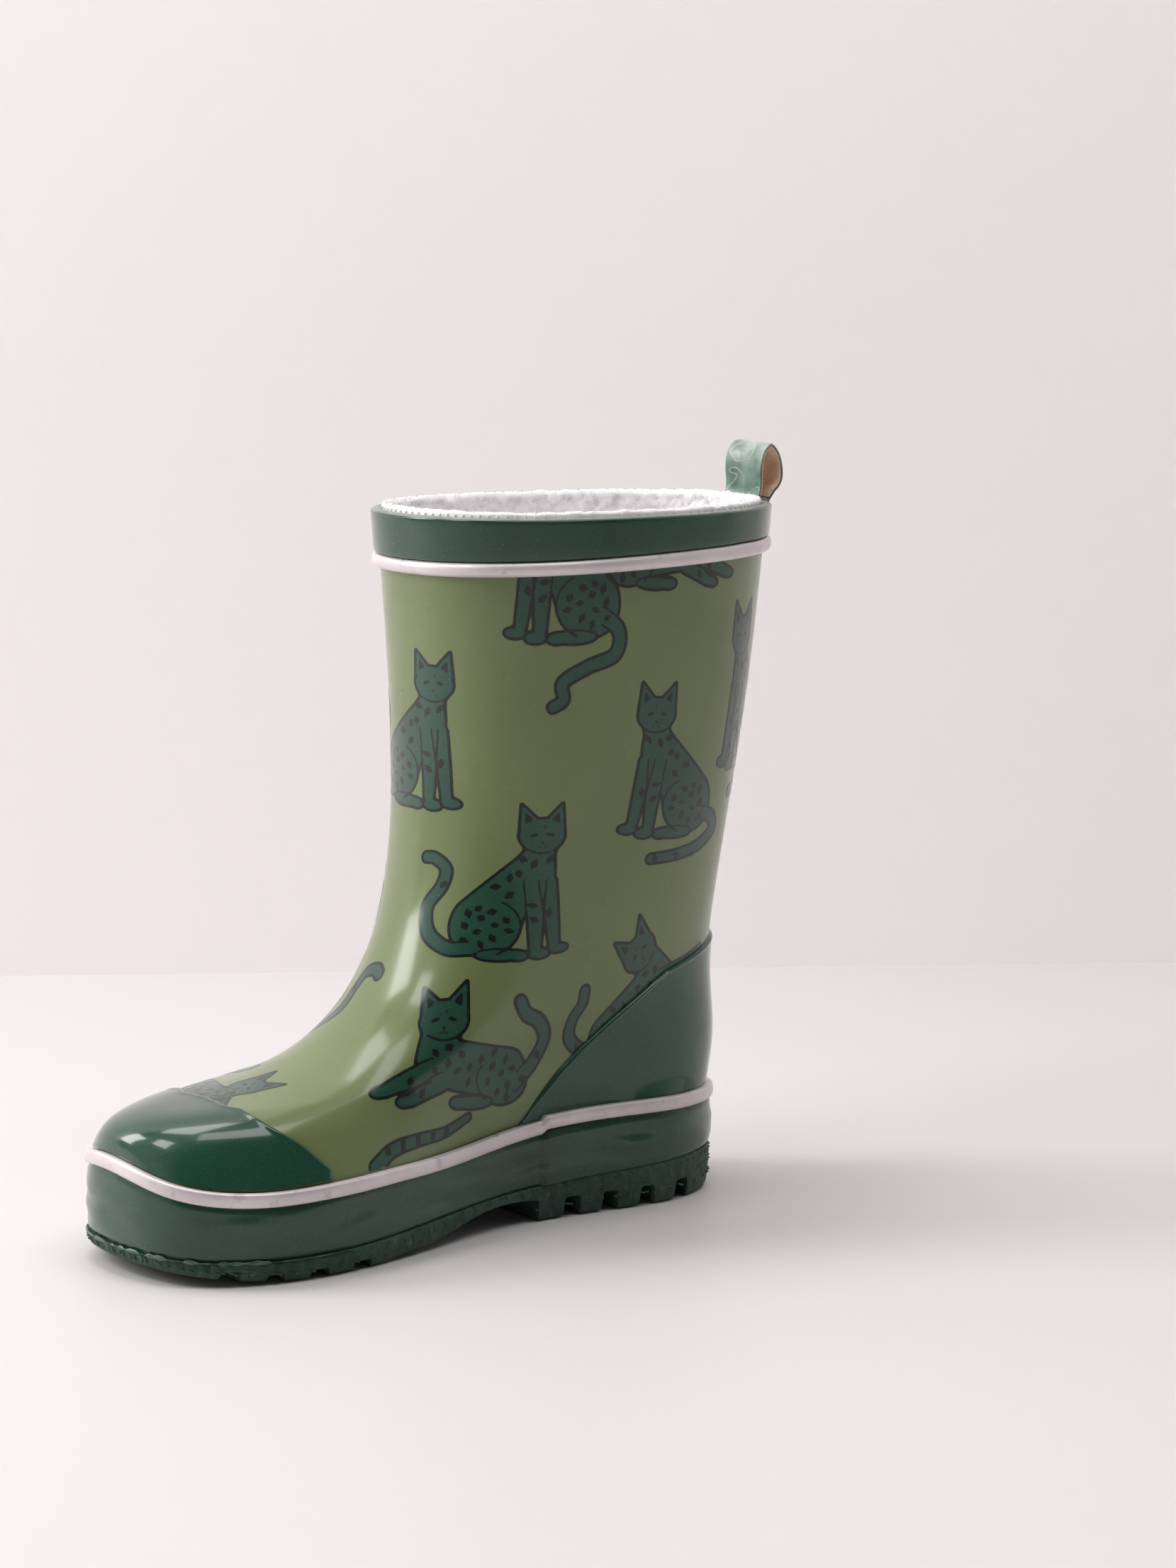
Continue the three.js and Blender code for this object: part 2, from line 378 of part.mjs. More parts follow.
// collar band and its stripe
const collarLow = th => 0.9415 + 0.005 * Math.cos(th);
const vPerMm = 0.0524 / 10;
const band = (v0, v1, prof) => rings(prof.map(([t, off]) => ring(th => upper(th, v0(th) + (v1(th) - v0(th)) * t, off))), true);
pieces.collar_band = band(collarLow, () => 1, [[0, GAP], [0, GAP + COLLAR_T], [0.5, GAP + COLLAR_T], [1, GAP + COLLAR_T], [1, GAP]]);
pieces.collar_stripe = band(th => collarLow(th) - (COLLAR_STRIPE_H + GAP) * vPerMm, th => collarLow(th) - GAP * vPerMm,
  [[0, GAP], [0, GAP + 0.9], [0.22, GAP + 1.7], [0.78, GAP + 1.7], [1, GAP + 1.0], [1, GAP]]);

// hidden stiffeners between the upper and the lining
const puffGrid = (g) => { const r = []; for (let i = 0; i <= 20; i++) { const th = Math.PI + (-50 - g + (100 + 2 * g) * i / 20) * rad; r.push([0, 1, 2, 3, 4, 5].map(j => [th, 0.012 - 0.006 * g + (0.104 + 0.012 * g) * j / 5])); } return r; };
const stiffGrid = (g) => { const r = []; for (let i = 0; i <= 18; i++) { const th = (-62 - g + (124 + 2 * g) * i / 18) * rad; r.push([0, 1, 2, 3, 4, 5].map(j => [th, 0.012 - 0.006 * g + (0.225 + 0.012 * g) * j / 5])); } return r; };
pieces.toe_puff = unsolid(biggest(solid(patch(puffGrid(0), -SHELL_T - GAP - 0.6, -1.0)).subtract(shellPlus)));
pieces.heel_stiffener = unsolid(biggest(solid(patch(stiffGrid(0), -SHELL_T - GAP - 0.6, -1.0)).subtract(shellPlus)));

// anchor end of the pull loop, sewn between lining and upper at the back of the rim
const anchorGrid = g => { const r = []; for (const a of [-1, -0.33, 0.33, 1]) r.push([0.912 - 0.003 * g, 0.95, 0.985 + 0.03 * g].map(v => [(2.9 + a * (11.4 + 0.8 * g)) * rad, v])); return r; };
pieces.pull_loop_anchor = unsolid(biggest(solid(patch(anchorGrid(0), -SHELL_T - GAP - 0.8, -1.0)).subtract(shellPlus)));

// lining: one textile sock
{
  const o = SHELL_T + LINING_GAP, i = o + LINING_T;
  const outer = [
    ring(th => onBed(th, WELT_INSET + 3.6 + o * 0.6, SHELL_T + GAP + BOARD_T + GAP)),
    ring(th => onBed(th, WELT_INSET + 0.8 + o, SHELL_T + 2.4 + BOARD_T)),
    ...V.slice(0, -1).map(v => ring(th => upper(th, v, -o))), ring(th => upper(th, 1, -o))];
  const zi = SHELL_T + GAP + BOARD_T + GAP + LINING_SOLE_T;
  const inner = [
    ...[...V].reverse().map(v => ring(th => upper(th, v, -i))),
    ring(th => onBed(th, WELT_INSET + 0.8 + i, zi + 2.0)),
    ring(th => onBed(th, WELT_INSET + 3.0 + i, zi))];
  let s = solid(rings([...outer, ...inner]));
  s = s.subtract(solid(patch(puffGrid(1.4), -o - 0.6 - GAP, -0.9)));
  s = s.subtract(solid(patch(stiffGrid(1.4), -o - 0.6 - GAP, -0.9)));
  s = s.subtract(solid(patch(anchorGrid(1), -o - 0.8 - GAP, -0.9)));
  pieces.lining = unsolid(biggest(s));
}
// foot bed stack
const flat = (inset, a, b) => rings([ring(th => onBed(th, inset, a)), ring(th => onBed(th, inset, b))]);
pieces.insole_board = flat(WELT_INSET + 4.2, SHELL_T + GAP, SHELL_T + GAP + BOARD_T);
const insoleZ = SHELL_T + BOARD_T + LINING_SOLE_T + 4 * GAP;
pieces.insole = rings([
  ring(th => onBed(th, 9.6, insoleZ)),
  ring(th => onBed(th, 8.7, insoleZ + 1.2)),
  ring(th => onBed(th, 8.7, insoleZ + INSOLE_T - 0.8)),
  ring(th => onBed(th, 9.5, insoleZ + INSOLE_T))]);
{
  const f = solid(flat(2.5, -FILLER_H, -GAP));
  pieces.forefoot_filler = unsolid(biggest(f.intersect(box(-80, 80, -140, 8, -10, 60))));
  pieces.heel_filler = unsolid(biggest(f.intersect(box(-80, 80, 8.4, 140, -10, 60))));
}
// pull loop: a folded strap with a canvas backing inside, standing on the back of the rim
function loopBand(off, thick) {
  // outer face in (y, z) relative to the hinge line, front leg up, over, rear leg down
  const c = new THREE.CatmullRomCurve3([[-2.1, 1.8], [-2.5, 5], [-2.8, 8.8], [-2.0, 12.9], [0.4, 15.9], [3.6, 13.4], [5.4, 9.6], [5.8, 6.2], [5.2, 3.4], [3.9, 1.8]]
    .map(([y, z]) => new THREE.Vector3(0, y, z)));
  const n = 22, a = [], b = [];
  for (let i = 0; i <= n; i++) {
    const p = c.getPoint(i / n), t = c.getTangent(i / n), nx = -t.z, nz = t.y;   // left of travel: outwards
    a.push([LOOP_Y + p.y + nx * off, LOOP_Z + p.z + nz * off]);
    b.push([LOOP_Y + p.y + nx * (off - thick), LOOP_Z + p.z + nz * (off - thick)]);
  }
  return prismX([...a, ...b.reverse()], LOOP_X - STRAP_W / 2, LOOP_X + STRAP_W / 2);
}
const clean = g => unsolid(solid(g));
pieces.pull_loop_strap = clean(loopBand(0, STRAP_T));
pieces.pull_loop_backing = clean(loopBand(-STRAP_T - GAP, BACKING_T));
// rear end of the strap, lying on the outside of the collar and tapering to a tail
{
  const grid = [];
  for (const a of [-1, -0.33, 0.33, 1]) {
    grid.push([[0.956, 6.4], [0.964, 9.8], [0.98, 11.2], [1, 11.4]].map(([v, w]) => [(2.9 + a * w) * rad, v]));
  }
  pieces.pull_loop_tail = clean(patch(grid, 2 * GAP + COLLAR_T + 0.15, 2 * GAP + COLLAR_T + 0.15 + STRAP_T));
}

// ---------------------------------------------------------------- scene graph
const mat = (c, roughness, metalness = 0) => new THREE.MeshStandardMaterial({ color: new THREE.Color(c), roughness, metalness });
const SAGE = mat('#8fa37c', 0.18), GREEN = mat('#2f5b47', 0.2), SILVER = mat('#cfc9d0', 0.35, 0.5), SOLE = mat('#2d4f40', 0.7),
  TEXTILE = mat('#efecee', 0.95), BOARD = mat('#9a8f7d', 0.9), FOAM = mat('#5c5f5a', 0.9), CANVAS = mat('#b79b7c', 0.9);
const looks = {
  outsole: SOLE, foxing_tape: GREEN, foxing_stripe: SILVER, toe_cap: GREEN, heel_counter: GREEN, back_strip: GREEN,
  upper_shell: SAGE, collar_band: GREEN, collar_stripe: SILVER, toe_puff: BOARD, heel_stiffener: BOARD, lining: TEXTILE,
  insole_board: BOARD, insole: FOAM, forefoot_filler: FOAM, heel_filler: FOAM, pull_loop_strap: GREEN,
  pull_loop_backing: CANVAS, pull_loop_anchor: GREEN, pull_loop_tail: GREEN,
};
const boot = new THREE.Group();
const sole = new THREE.Group(), body = new THREE.Group(), loop = new THREE.Group();
boot.add(sole, body, loop);
for (const [name, g] of Object.entries(pieces)) {
  const m = new THREE.Mesh(g, looks[name]);
  m.name = name;
  m.position.set(0, -0, 0);
  (/sole|foxing|filler/.test(name) ? sole : /loop/.test(name) ? loop : body).add(m);
}
boot.position.set(0, ORIGIN_SHIFT_Y, 0);
export default boot;
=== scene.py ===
# Visual model of a child's rubber rain boot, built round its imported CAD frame.
# Shape tables are in millimetres; objects are made in metres in the frame's own axes:
# +Z up, toe towards -Y, heel towards +Y, inner side of the foot towards +X.
import math

import bpy
import numpy as np
from mathutils import Matrix, Vector


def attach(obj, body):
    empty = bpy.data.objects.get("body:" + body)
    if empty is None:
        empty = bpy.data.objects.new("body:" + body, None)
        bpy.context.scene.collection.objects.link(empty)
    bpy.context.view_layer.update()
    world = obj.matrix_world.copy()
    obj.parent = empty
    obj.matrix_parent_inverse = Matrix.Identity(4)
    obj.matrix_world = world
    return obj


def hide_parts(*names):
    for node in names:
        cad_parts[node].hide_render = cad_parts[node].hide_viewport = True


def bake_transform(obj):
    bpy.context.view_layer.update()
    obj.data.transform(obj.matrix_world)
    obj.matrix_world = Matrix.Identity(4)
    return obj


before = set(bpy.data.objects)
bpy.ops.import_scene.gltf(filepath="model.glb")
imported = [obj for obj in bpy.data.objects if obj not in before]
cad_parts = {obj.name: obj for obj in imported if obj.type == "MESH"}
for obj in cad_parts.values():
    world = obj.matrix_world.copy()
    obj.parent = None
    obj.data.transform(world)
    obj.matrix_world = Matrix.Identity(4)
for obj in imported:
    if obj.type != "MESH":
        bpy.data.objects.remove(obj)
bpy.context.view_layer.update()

SHIFT_Y = -2.53
STRIPE_H = 3.6
WELT_INSET = 2.2
SHELL_T = 1.4
RAD = math.pi / 180

# Sole outline per 15 degrees: x, y, stripe top height, foxing bottom height.
OUTLINE = np.array([
    [0, 86, 28.6, 12.62],
    [13.8, 82.76, 28.7, 12.52],
    [22.9, 73.27, 29.1, 12.16],
    [27.2, 58.18, 29.4, 11.52],
    [26.1, 38.5, 29.2, 10.79],
    [24.9, 15.59, 27.8, 9.89],
    [28.6, -9, 25.4, 8.58],
    [35, -33.59, 24.6, 7.07],
    [38.6, -56.5, 24.3, 6.06],
    [37, -76.18, 23.9, 5.89],
    [30.8, -91.27, 24.9, 6.39],
    [19.9, -100.76, 27.6, 7.12],
    [1.4, -104, 30.5, 7.49],
    [-14.2, -100.76, 28.6, 7.13],
    [-25.2, -91.27, 26, 6.39],
    [-33, -76.18, 24.7, 5.89],
    [-37, -56.5, 24.6, 6.06],
    [-36.4, -33.59, 24.9, 7.07],
    [-32.6, -9, 25.8, 8.57],
    [-30.2, 15.59, 27.4, 9.89],
    [-30.3, 38.5, 28.6, 10.79],
    [-29.7, 58.18, 29, 11.52],
    [-24.6, 73.27, 28.8, 12.16],
    [-14.4, 82.76, 28.6, 12.52]
])
# Loft sections of the upper's outer face, welt to rim.
SECTIONS = np.array([
    [[0,83.8,28.6], [12.74,80.83,28.7], [20.97,72.22,29.1], [25.01,58.02,29.4], [23.91,38.73,29.2], [22.7,15.5,27.8], [26.46,-9.51,25.4], [32.86,-34.1,24.6], [36.4,-56.61,24.3], [34.86,-75.67,23.9], [28.94,-90.09,24.9], [19.05,-98.73,27.6], [1.4,-101.8,30.5], [-13.22,-98.79,28.6], [-23.44,-89.95,26], [-30.92,-75.46,24.7], [-34.81,-56.32,24.6], [-34.21,-33.84,24.9], [-30.42,-9.33,25.8], [-28,15.5,27.4], [-28.1,38.55,28.6], [-27.52,57.87,29], [-22.73,72.12,28.8], [-13.41,80.8,28.6]],
    [[-0.16,86.36,34.5], [11.46,83.18,34.53], [19.73,73.85,34.6], [23.58,59.01,34.72], [24.5,39.68,34.88], [25.26,17.16,35.06], [27.53,-7,35.25], [30.54,-31.16,35.44], [32.02,-53.68,35.62], [30.07,-73.01,35.78], [24.05,-87.85,35.9], [14.57,-97.18,35.97], [3.27,-100.36,36], [-7.77,-97.18,35.97], [-17.01,-87.85,35.9], [-23.83,-73.01,35.78], [-28.09,-53.68,35.62], [-29.87,-31.16,35.44], [-29.91,-7,35.25], [-29.34,17.16,35.06], [-28.62,39.68,34.88], [-26.62,59.01,34.72], [-21.42,73.85,34.6], [-12.14,83.18,34.53]],
    [[-0.17,87.35,41.23], [11.28,84.23,41.17], [19.53,75.07,41.01], [23.47,60.61,40.82], [24.73,41.92,40.72], [25.7,20.27,40.8], [27.47,-2.93,40.98], [29.26,-26.19,40.99], [29.33,-47.95,40.89], [26.36,-66.71,40.73], [20.39,-81.15,40.34], [12.63,-90.28,39.73], [4.65,-93.39,39.3], [-3.27,-90.28,39.56], [-10.82,-81.17,40.11], [-17.56,-66.75,40.56], [-23.03,-48.01,40.8], [-26.75,-26.25,40.93], [-28.65,-2.96,40.94], [-29.2,20.27,40.86], [-28.73,41.95,40.83], [-26.58,60.64,40.91], [-21.24,75.1,41.07], [-11.97,84.23,41.2]],
    [[-0.15,86.96,48.32], [11.23,84.09,48.18], [19.5,75.71,47.81], [23.65,62.42,47.25], [25.01,45.18,46.61], [25.88,25.16,45.96], [27.46,3.7,45.3], [28.92,-17.79,44.57], [28.42,-37.86,43.84], [24.97,-55.13,43.13], [19.15,-68.42,42.45], [12.37,-76.79,41.85], [5.64,-79.65,41.56], [-0.98,-76.79,41.76], [-7.75,-68.43,42.33], [-14.58,-55.16,43.04], [-20.71,-37.89,43.78], [-25.21,-17.82,44.54], [-27.76,3.68,45.28], [-28.8,25.16,45.99], [-28.63,45.19,46.67], [-26.53,62.43,47.31], [-21.14,75.72,47.84], [-11.89,84.1,48.2]],
    [[-0.13,85.85,55.79], [10.93,83.35,55.6], [19.2,76.04,55.06], [23.75,64.42,54.2], [25.58,49.28,53.1], [26.63,31.67,51.82], [28.1,12.77,50.46], [29.39,-6.14,49.09], [28.93,-23.77,47.8], [25.7,-38.91,46.68], [20.07,-50.53,45.8], [13.16,-57.84,45.23], [5.9,-60.33,45.02], [-1.38,-57.84,45.22], [-8.6,-50.53,45.78], [-15.46,-38.91,46.67], [-21.27,-23.77,47.79], [-25.38,-6.15,49.08], [-27.73,12.76,50.46], [-28.74,31.67,51.83], [-28.47,49.29,53.1], [-26.13,64.42,54.21], [-20.58,76.04,55.06], [-11.48,83.35,55.61]],
    [[-0.09,85.2,64.6], [10.39,83.08,64.39], [18.64,76.85,63.8], [23.8,66.93,62.84], [26.49,54,61.59], [28.06,38.94,60.12], [29.46,22.77,58.54], [30.45,6.61,56.97], [29.96,-8.45,55.51], [27.02,-21.38,54.26], [21.49,-31.29,53.31], [13.94,-37.52,52.73], [5.25,-39.65,52.54], [-3.64,-37.52,52.74], [-11.84,-31.29,53.32], [-18.62,-21.37,54.27], [-23.62,-8.45,55.51], [-26.87,6.61,56.97], [-28.65,22.77,58.54], [-29.23,38.94,60.12], [-28.39,54,61.58], [-25.45,66.93,62.83], [-19.62,76.85,63.79], [-10.79,83.08,64.39]],
    [[-0.05,86.16,76.76], [9.84,84.31,76.59], [18.08,78.88,76.09], [23.95,70.24,75.3], [27.66,58.97,74.26], [29.95,45.85,73.05], [31.36,31.77,71.75], [31.87,17.69,70.45], [30.91,4.57,69.24], [27.78,-6.7,68.21], [22.05,-15.34,67.42], [13.81,-20.77,66.94], [3.86,-22.62,66.77], [-6.4,-20.77,66.94], [-15.39,-15.34,67.43], [-22.14,-6.69,68.21], [-26.59,4.57,69.24], [-29.21,17.69,70.45], [-30.42,31.77,71.75], [-30.31,45.85,73.05], [-28.61,58.97,74.26], [-24.84,70.24,75.29], [-18.63,78.88,76.09], [-10.06,84.31,76.59]],
    [[-0.02,89.26,94.82], [9.51,87.53,94.73], [17.86,82.45,94.46], [24.38,74.38,94.03], [29,63.86,93.47], [32,51.62,92.82], [33.54,38.47,92.13], [33.61,25.33,91.43], [31.94,13.08,90.78], [28.13,2.56,90.22], [21.79,-5.51,89.8], [12.89,-10.58,89.53], [2.18,-12.31,89.44], [-8.79,-10.58,89.53], [-18.27,-5.51,89.8], [-25.22,2.56,90.22], [-29.64,13.08,90.78], [-32.04,25.33,91.43], [-32.79,38.47,92.13], [-31.93,51.62,92.82], [-29.29,63.86,93.47], [-24.71,74.38,94.03], [-18.07,82.45,94.46], [-9.6,87.53,94.73]],
    [[0,94.07,120.45], [9.51,92.31,120.44], [18.12,87.18,120.43], [25.16,79.01,120.4], [30.43,68.36,120.37], [33.95,55.96,120.33], [35.72,42.65,120.3], [35.58,29.35,120.26], [33.37,16.95,120.22], [28.82,6.3,120.19], [21.66,-1.87,120.16], [12,-7.01,120.15], [0.77,-8.76,120.14], [-10.58,-7.01,120.15], [-20.49,-1.87,120.16], [-27.87,6.3,120.19], [-32.59,16.94,120.22], [-35,29.35,120.26], [-35.37,42.65,120.3], [-33.83,55.96,120.33], [-30.44,68.36,120.37], [-25.22,79.01,120.4], [-18.16,87.18,120.43], [-9.52,92.31,120.44]],
    [[0,99.26,153], [9.87,97.4,153.05], [18.8,91.95,153.17], [26.19,83.28,153.37], [31.84,71.98,153.63], [35.68,58.82,153.93], [37.64,44.7,154.25], [37.53,30.58,154.57], [35.1,17.42,154.87], [30.05,6.12,155.13], [22.22,-2.55,155.33], [11.88,-8,155.45], [0,-9.86,155.5], [-11.88,-8,155.45], [-22.22,-2.55,155.33], [-30.05,6.12,155.13], [-35.1,17.42,154.87], [-37.53,30.58,154.57], [-37.64,44.7,154.25], [-35.68,58.82,153.93], [-31.84,71.98,153.63], [-26.19,83.28,153.37], [-18.8,91.95,153.17], [-9.87,97.4,153.05]],
    [[0,103,190], [10.75,101.03,190], [19.69,95.25,190], [27.24,86.06,190], [33.14,74.08,190], [37.1,60.12,190], [39,45.15,190], [39.07,30.18,190], [36.63,16.23,190], [31.38,4.24,190], [23.42,-4.95,190], [13.05,-10.73,190], [0,-12.7,190], [-13.05,-10.73,190], [-23.42,-4.95,190], [-31.38,4.24,190], [-36.63,16.22,190], [-39.07,30.18,190], [-39,45.15,190], [-37.1,60.12,190], [-33.14,74.08,190], [-27.24,86.06,190], [-19.69,95.25,190], [-10.75,101.03,190]]
])

# ------------------------------------------------------------------ splines
NS, K = 24, len(SECTIONS)
_A = 4 * np.eye(NS) + np.roll(np.eye(NS), 1, 1) + np.roll(np.eye(NS), -1, 1)
PINV = np.linalg.inv(_A)


class Closed:
    """Closed cubic spline through 24 evenly spaced values."""

    def __init__(self, vals):
        self.v = np.asarray(vals, float)
        self.m = PINV @ (6 * (np.roll(self.v, -1, 0) - 2 * self.v + np.roll(self.v, 1, 0)))

    def __call__(self, th):
        t = np.asarray(th, float) / (2 * np.pi) * NS
        f = np.floor(t)
        i = f.astype(int) % NS
        j = (i + 1) % NS
        b = t - f
        a = 1 - b
        if self.v.ndim > 1:
            a, b = a[..., None], b[..., None]
        return a * self.v[i] + b * self.v[j] + ((a**3 - a) * self.m[i] + (b**3 - b) * self.m[j]) / 6


OX, OY, ZT, ZB = (Closed(OUTLINE[:, k]) for k in range(4))
ROWS = Closed(SECTIONS.transpose(1, 0, 2).reshape(NS, K * 3))
_d = np.linalg.norm(np.diff(SECTIONS, axis=0), axis=2).mean(1)
KNOT = np.concatenate([[0], np.cumsum(_d)])
KNOT /= KNOT[-1]
H = np.diff(KNOT)
_B = np.eye(K)
for _i in range(1, K - 1):
    _B[_i, _i - 1 : _i + 2] = [H[_i - 1], 2 * (H[_i - 1] + H[_i]), H[_i]]
NINV = np.linalg.inv(_B)


def surf(th, v):
    """Points of the upper's outer face at column angles th and height parameters v."""
    th, v = np.broadcast_arrays(np.asarray(th, float), np.asarray(v, float))
    shape = th.shape
    th, v = th.ravel(), v.ravel()
    R = ROWS(th).reshape(-1, K, 3)
    d = (R[:, 1:] - R[:, :-1]) / H[None, :, None]
    rhs = np.zeros_like(R)
    rhs[:, 1:-1] = 6 * (d[:, 1:] - d[:, :-1])
    m = np.einsum("ij,njk->nik", NINV, rhs)
    i = np.clip(np.searchsorted(KNOT, v, side="right") - 1, 0, K - 2)
    h = H[i]
    a = (KNOT[i + 1] - v) / h
    b = 1 - a
    n = np.arange(len(v))
    out = a[:, None] * R[n, i] + b[:, None] * R[n, i + 1]
    out += ((a**3 - a)[:, None] * m[n, i] + (b**3 - b)[:, None] * m[n, i + 1]) * (h * h)[:, None] / 6
    return out.reshape(shape + (3,))


def normal(th, v):
    e = 2e-3
    du = surf(th + e, v) - surf(th - e, v)
    dv = surf(th, v + e) - surf(th, v - e)
    n = np.cross(dv, du)
    return n / np.linalg.norm(n, axis=-1, keepdims=True)


def upper(th, v, off):
    th, v, off = np.broadcast_arrays(np.asarray(th, float), np.asarray(v, float), np.asarray(off, float))
    return surf(th, v) + normal(th, v) * off[..., None]


def outline(th, inset, z):
    th, inset, z = np.broadcast_arrays(np.asarray(th, float), np.asarray(inset, float), np.asarray(z, float))
    e = 1e-3
    tx, ty = OX(th + e) - OX(th - e), OY(th + e) - OY(th - e)
    l = np.hypot(tx, ty)
    return np.stack([OX(th) + ty / l * inset, OY(th) - tx / l * inset, z], -1)


_bed = OUTLINE[:13][::-1]


def bed(y):
    return np.interp(y, _bed[:, 1], _bed[:, 3] + 5.6)


def on_bed(th, inset, dz):
    p = outline(th, inset, 0.0)
    p[..., 2] = bed(p[..., 1]) + dz
    return p


def sole_z(y):
    return np.where(y < -62, 4.6 * ((-62 - y) / 42) ** 2, 0)


def smooth(t):
    t = np.clip(t, 0, 1)
    return t * t * (3 - 2 * t)


# ------------------------------------------------------------------ noise for shapes
def lattice(shape, seed):
    return np.random.default_rng(seed).uniform(-1, 1, shape)


def wave_noise(p, scale, seed, terms=14):
    """Smooth noise in -1..1 at points p (.., 3), made of random plane waves. scale is a wavelength in mm per axis."""
    rng = np.random.default_rng(seed)
    out = np.zeros(p.shape[:-1])
    for _ in range(terms):
        k = rng.normal(size=3)
        k *= rng.uniform(0.6, 1.5) / np.linalg.norm(k)
        out += np.sin((p / np.asarray(scale, float)) @ k * 2 * np.pi + rng.uniform(0, 6.283))
    return out / math.sqrt(terms)


# ------------------------------------------------------------------ mesh building
def to_metres(p):
    p = np.asarray(p, float).reshape(-1, 3).copy()
    p[:, 1] += SHIFT_Y
    return p * 0.001


def volume(p, faces):
    s = 0.0
    for f in faces:
        a = p[f[0]]
        for i in range(1, len(f) - 1):
            s += np.dot(a, np.cross(p[f[i]], p[f[i + 1]]))
    return s / 6


def add_mesh(name, pts, faces, mat, closed=True, smooth_angle=40, normals=None):
    p = to_metres(pts)
    faces = [list(map(int, f)) for f in faces]
    if closed:
        q = p[[f[:3] for f in faces]]
        v = np.einsum("ij,ij->i", q[:, 0], np.cross(q[:, 1], q[:, 2])).sum()
        quads = [f for f in faces if len(f) == 4]
        if quads:
            q = p[[[f[0], f[2], f[3]] for f in quads]]
            v += np.einsum("ij,ij->i", q[:, 0], np.cross(q[:, 1], q[:, 2])).sum()
        if v < 0:
            faces = [f[::-1] for f in faces]
    me = bpy.data.meshes.new(name)
    me.from_pydata(p.tolist(), [], faces)
    me.validate()
    me.update()
    ob = bpy.data.objects.new(name, me)
    bpy.context.scene.collection.objects.link(ob)
    me.materials.append(mat)
    me.polygons.foreach_set("use_smooth", [True] * len(me.polygons))
    if normals is not None:
        me.normals_split_custom_set_from_vertices(np.asarray(normals, float).tolist())
    elif smooth_angle:
        me.set_sharp_from_angle(angle=smooth_angle * RAD)
    return ob


def grid_faces(m, n, wrap_m=False, wrap_n=True, base=0):
    i = np.arange(m if wrap_m else m - 1)
    j = np.arange(n if wrap_n else n - 1)
    I, J = np.meshgrid(i, j, indexing="ij")
    a = I * n + J
    b = I * n + (J + 1) % n
    c = ((I + 1) % m) * n + (J + 1) % n
    d = ((I + 1) % m) * n + J
    return (np.stack([a, b, c, d], -1).reshape(-1, 4) + base).tolist()


def torus(name, rings, mat, **kw):
    """Closed loop of closed rings, shape (m, n, 3)."""
    rings = np.asarray(rings)
    m, n = rings.shape[:2]
    return add_mesh(name, rings.reshape(-1, 3), grid_faces(m, n, True, True), mat, **kw)


def ladder(n, base, flip=False):
    f = []
    for i in range(n // 2):
        q = [base + i, base + i + 1, base + (n - i - 1) % n, base + (n - i) % n]
        q = list(dict.fromkeys(q))
        f.append(q[::-1] if flip else q)
    return f


def barrel(name, rings, mat, **kw):
    """Stack of closed rings with flat ends."""
    rings = np.asarray(rings)
    m, n = rings.shape[:2]
    faces = grid_faces(m, n, False, True) + ladder(n, 0, True) + ladder(n, (m - 1) * n)
    return add_mesh(name, rings.reshape(-1, 3), faces, mat, **kw)


def slab(name, inner, outer, mat, **kw):
    """Sheet with two faces, both of shape (m, n, 3)."""
    m, n = inner.shape[:2]
    o = m * n
    pts = np.concatenate([outer.reshape(-1, 3), inner.reshape(-1, 3)])
    top = grid_faces(m, n, False, False)
    faces = top + [[v + o for v in f[::-1]] for f in top]
    for i in range(m - 1):
        a, b = i * n, (i + 1) * n
        faces.append([b, a, a + o, b + o])
        c, d = a + n - 1, b + n - 1
        faces.append([c, d, d + o, c + o])
    for j in range(n - 1):
        a, b = j, j + 1
        faces.append([a, b, b + o, a + o])
        c, d = (m - 1) * n + j, (m - 1) * n + j + 1
        faces.append([d, c, c + o, d + o])
    return add_mesh(name, pts, faces, mat, **kw)


def place(ob, body, slot, *nodes):
    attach(ob, body)
    if nodes:
        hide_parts(*nodes)
    return ob


# ------------------------------------------------------------------ materials
def srgb(r, g, b):
    def f(c):
        c /= 255
        return c / 12.92 if c <= 0.04045 else ((c + 0.055) / 1.055) ** 2.4

    return (f(r), f(g), f(b), 1)


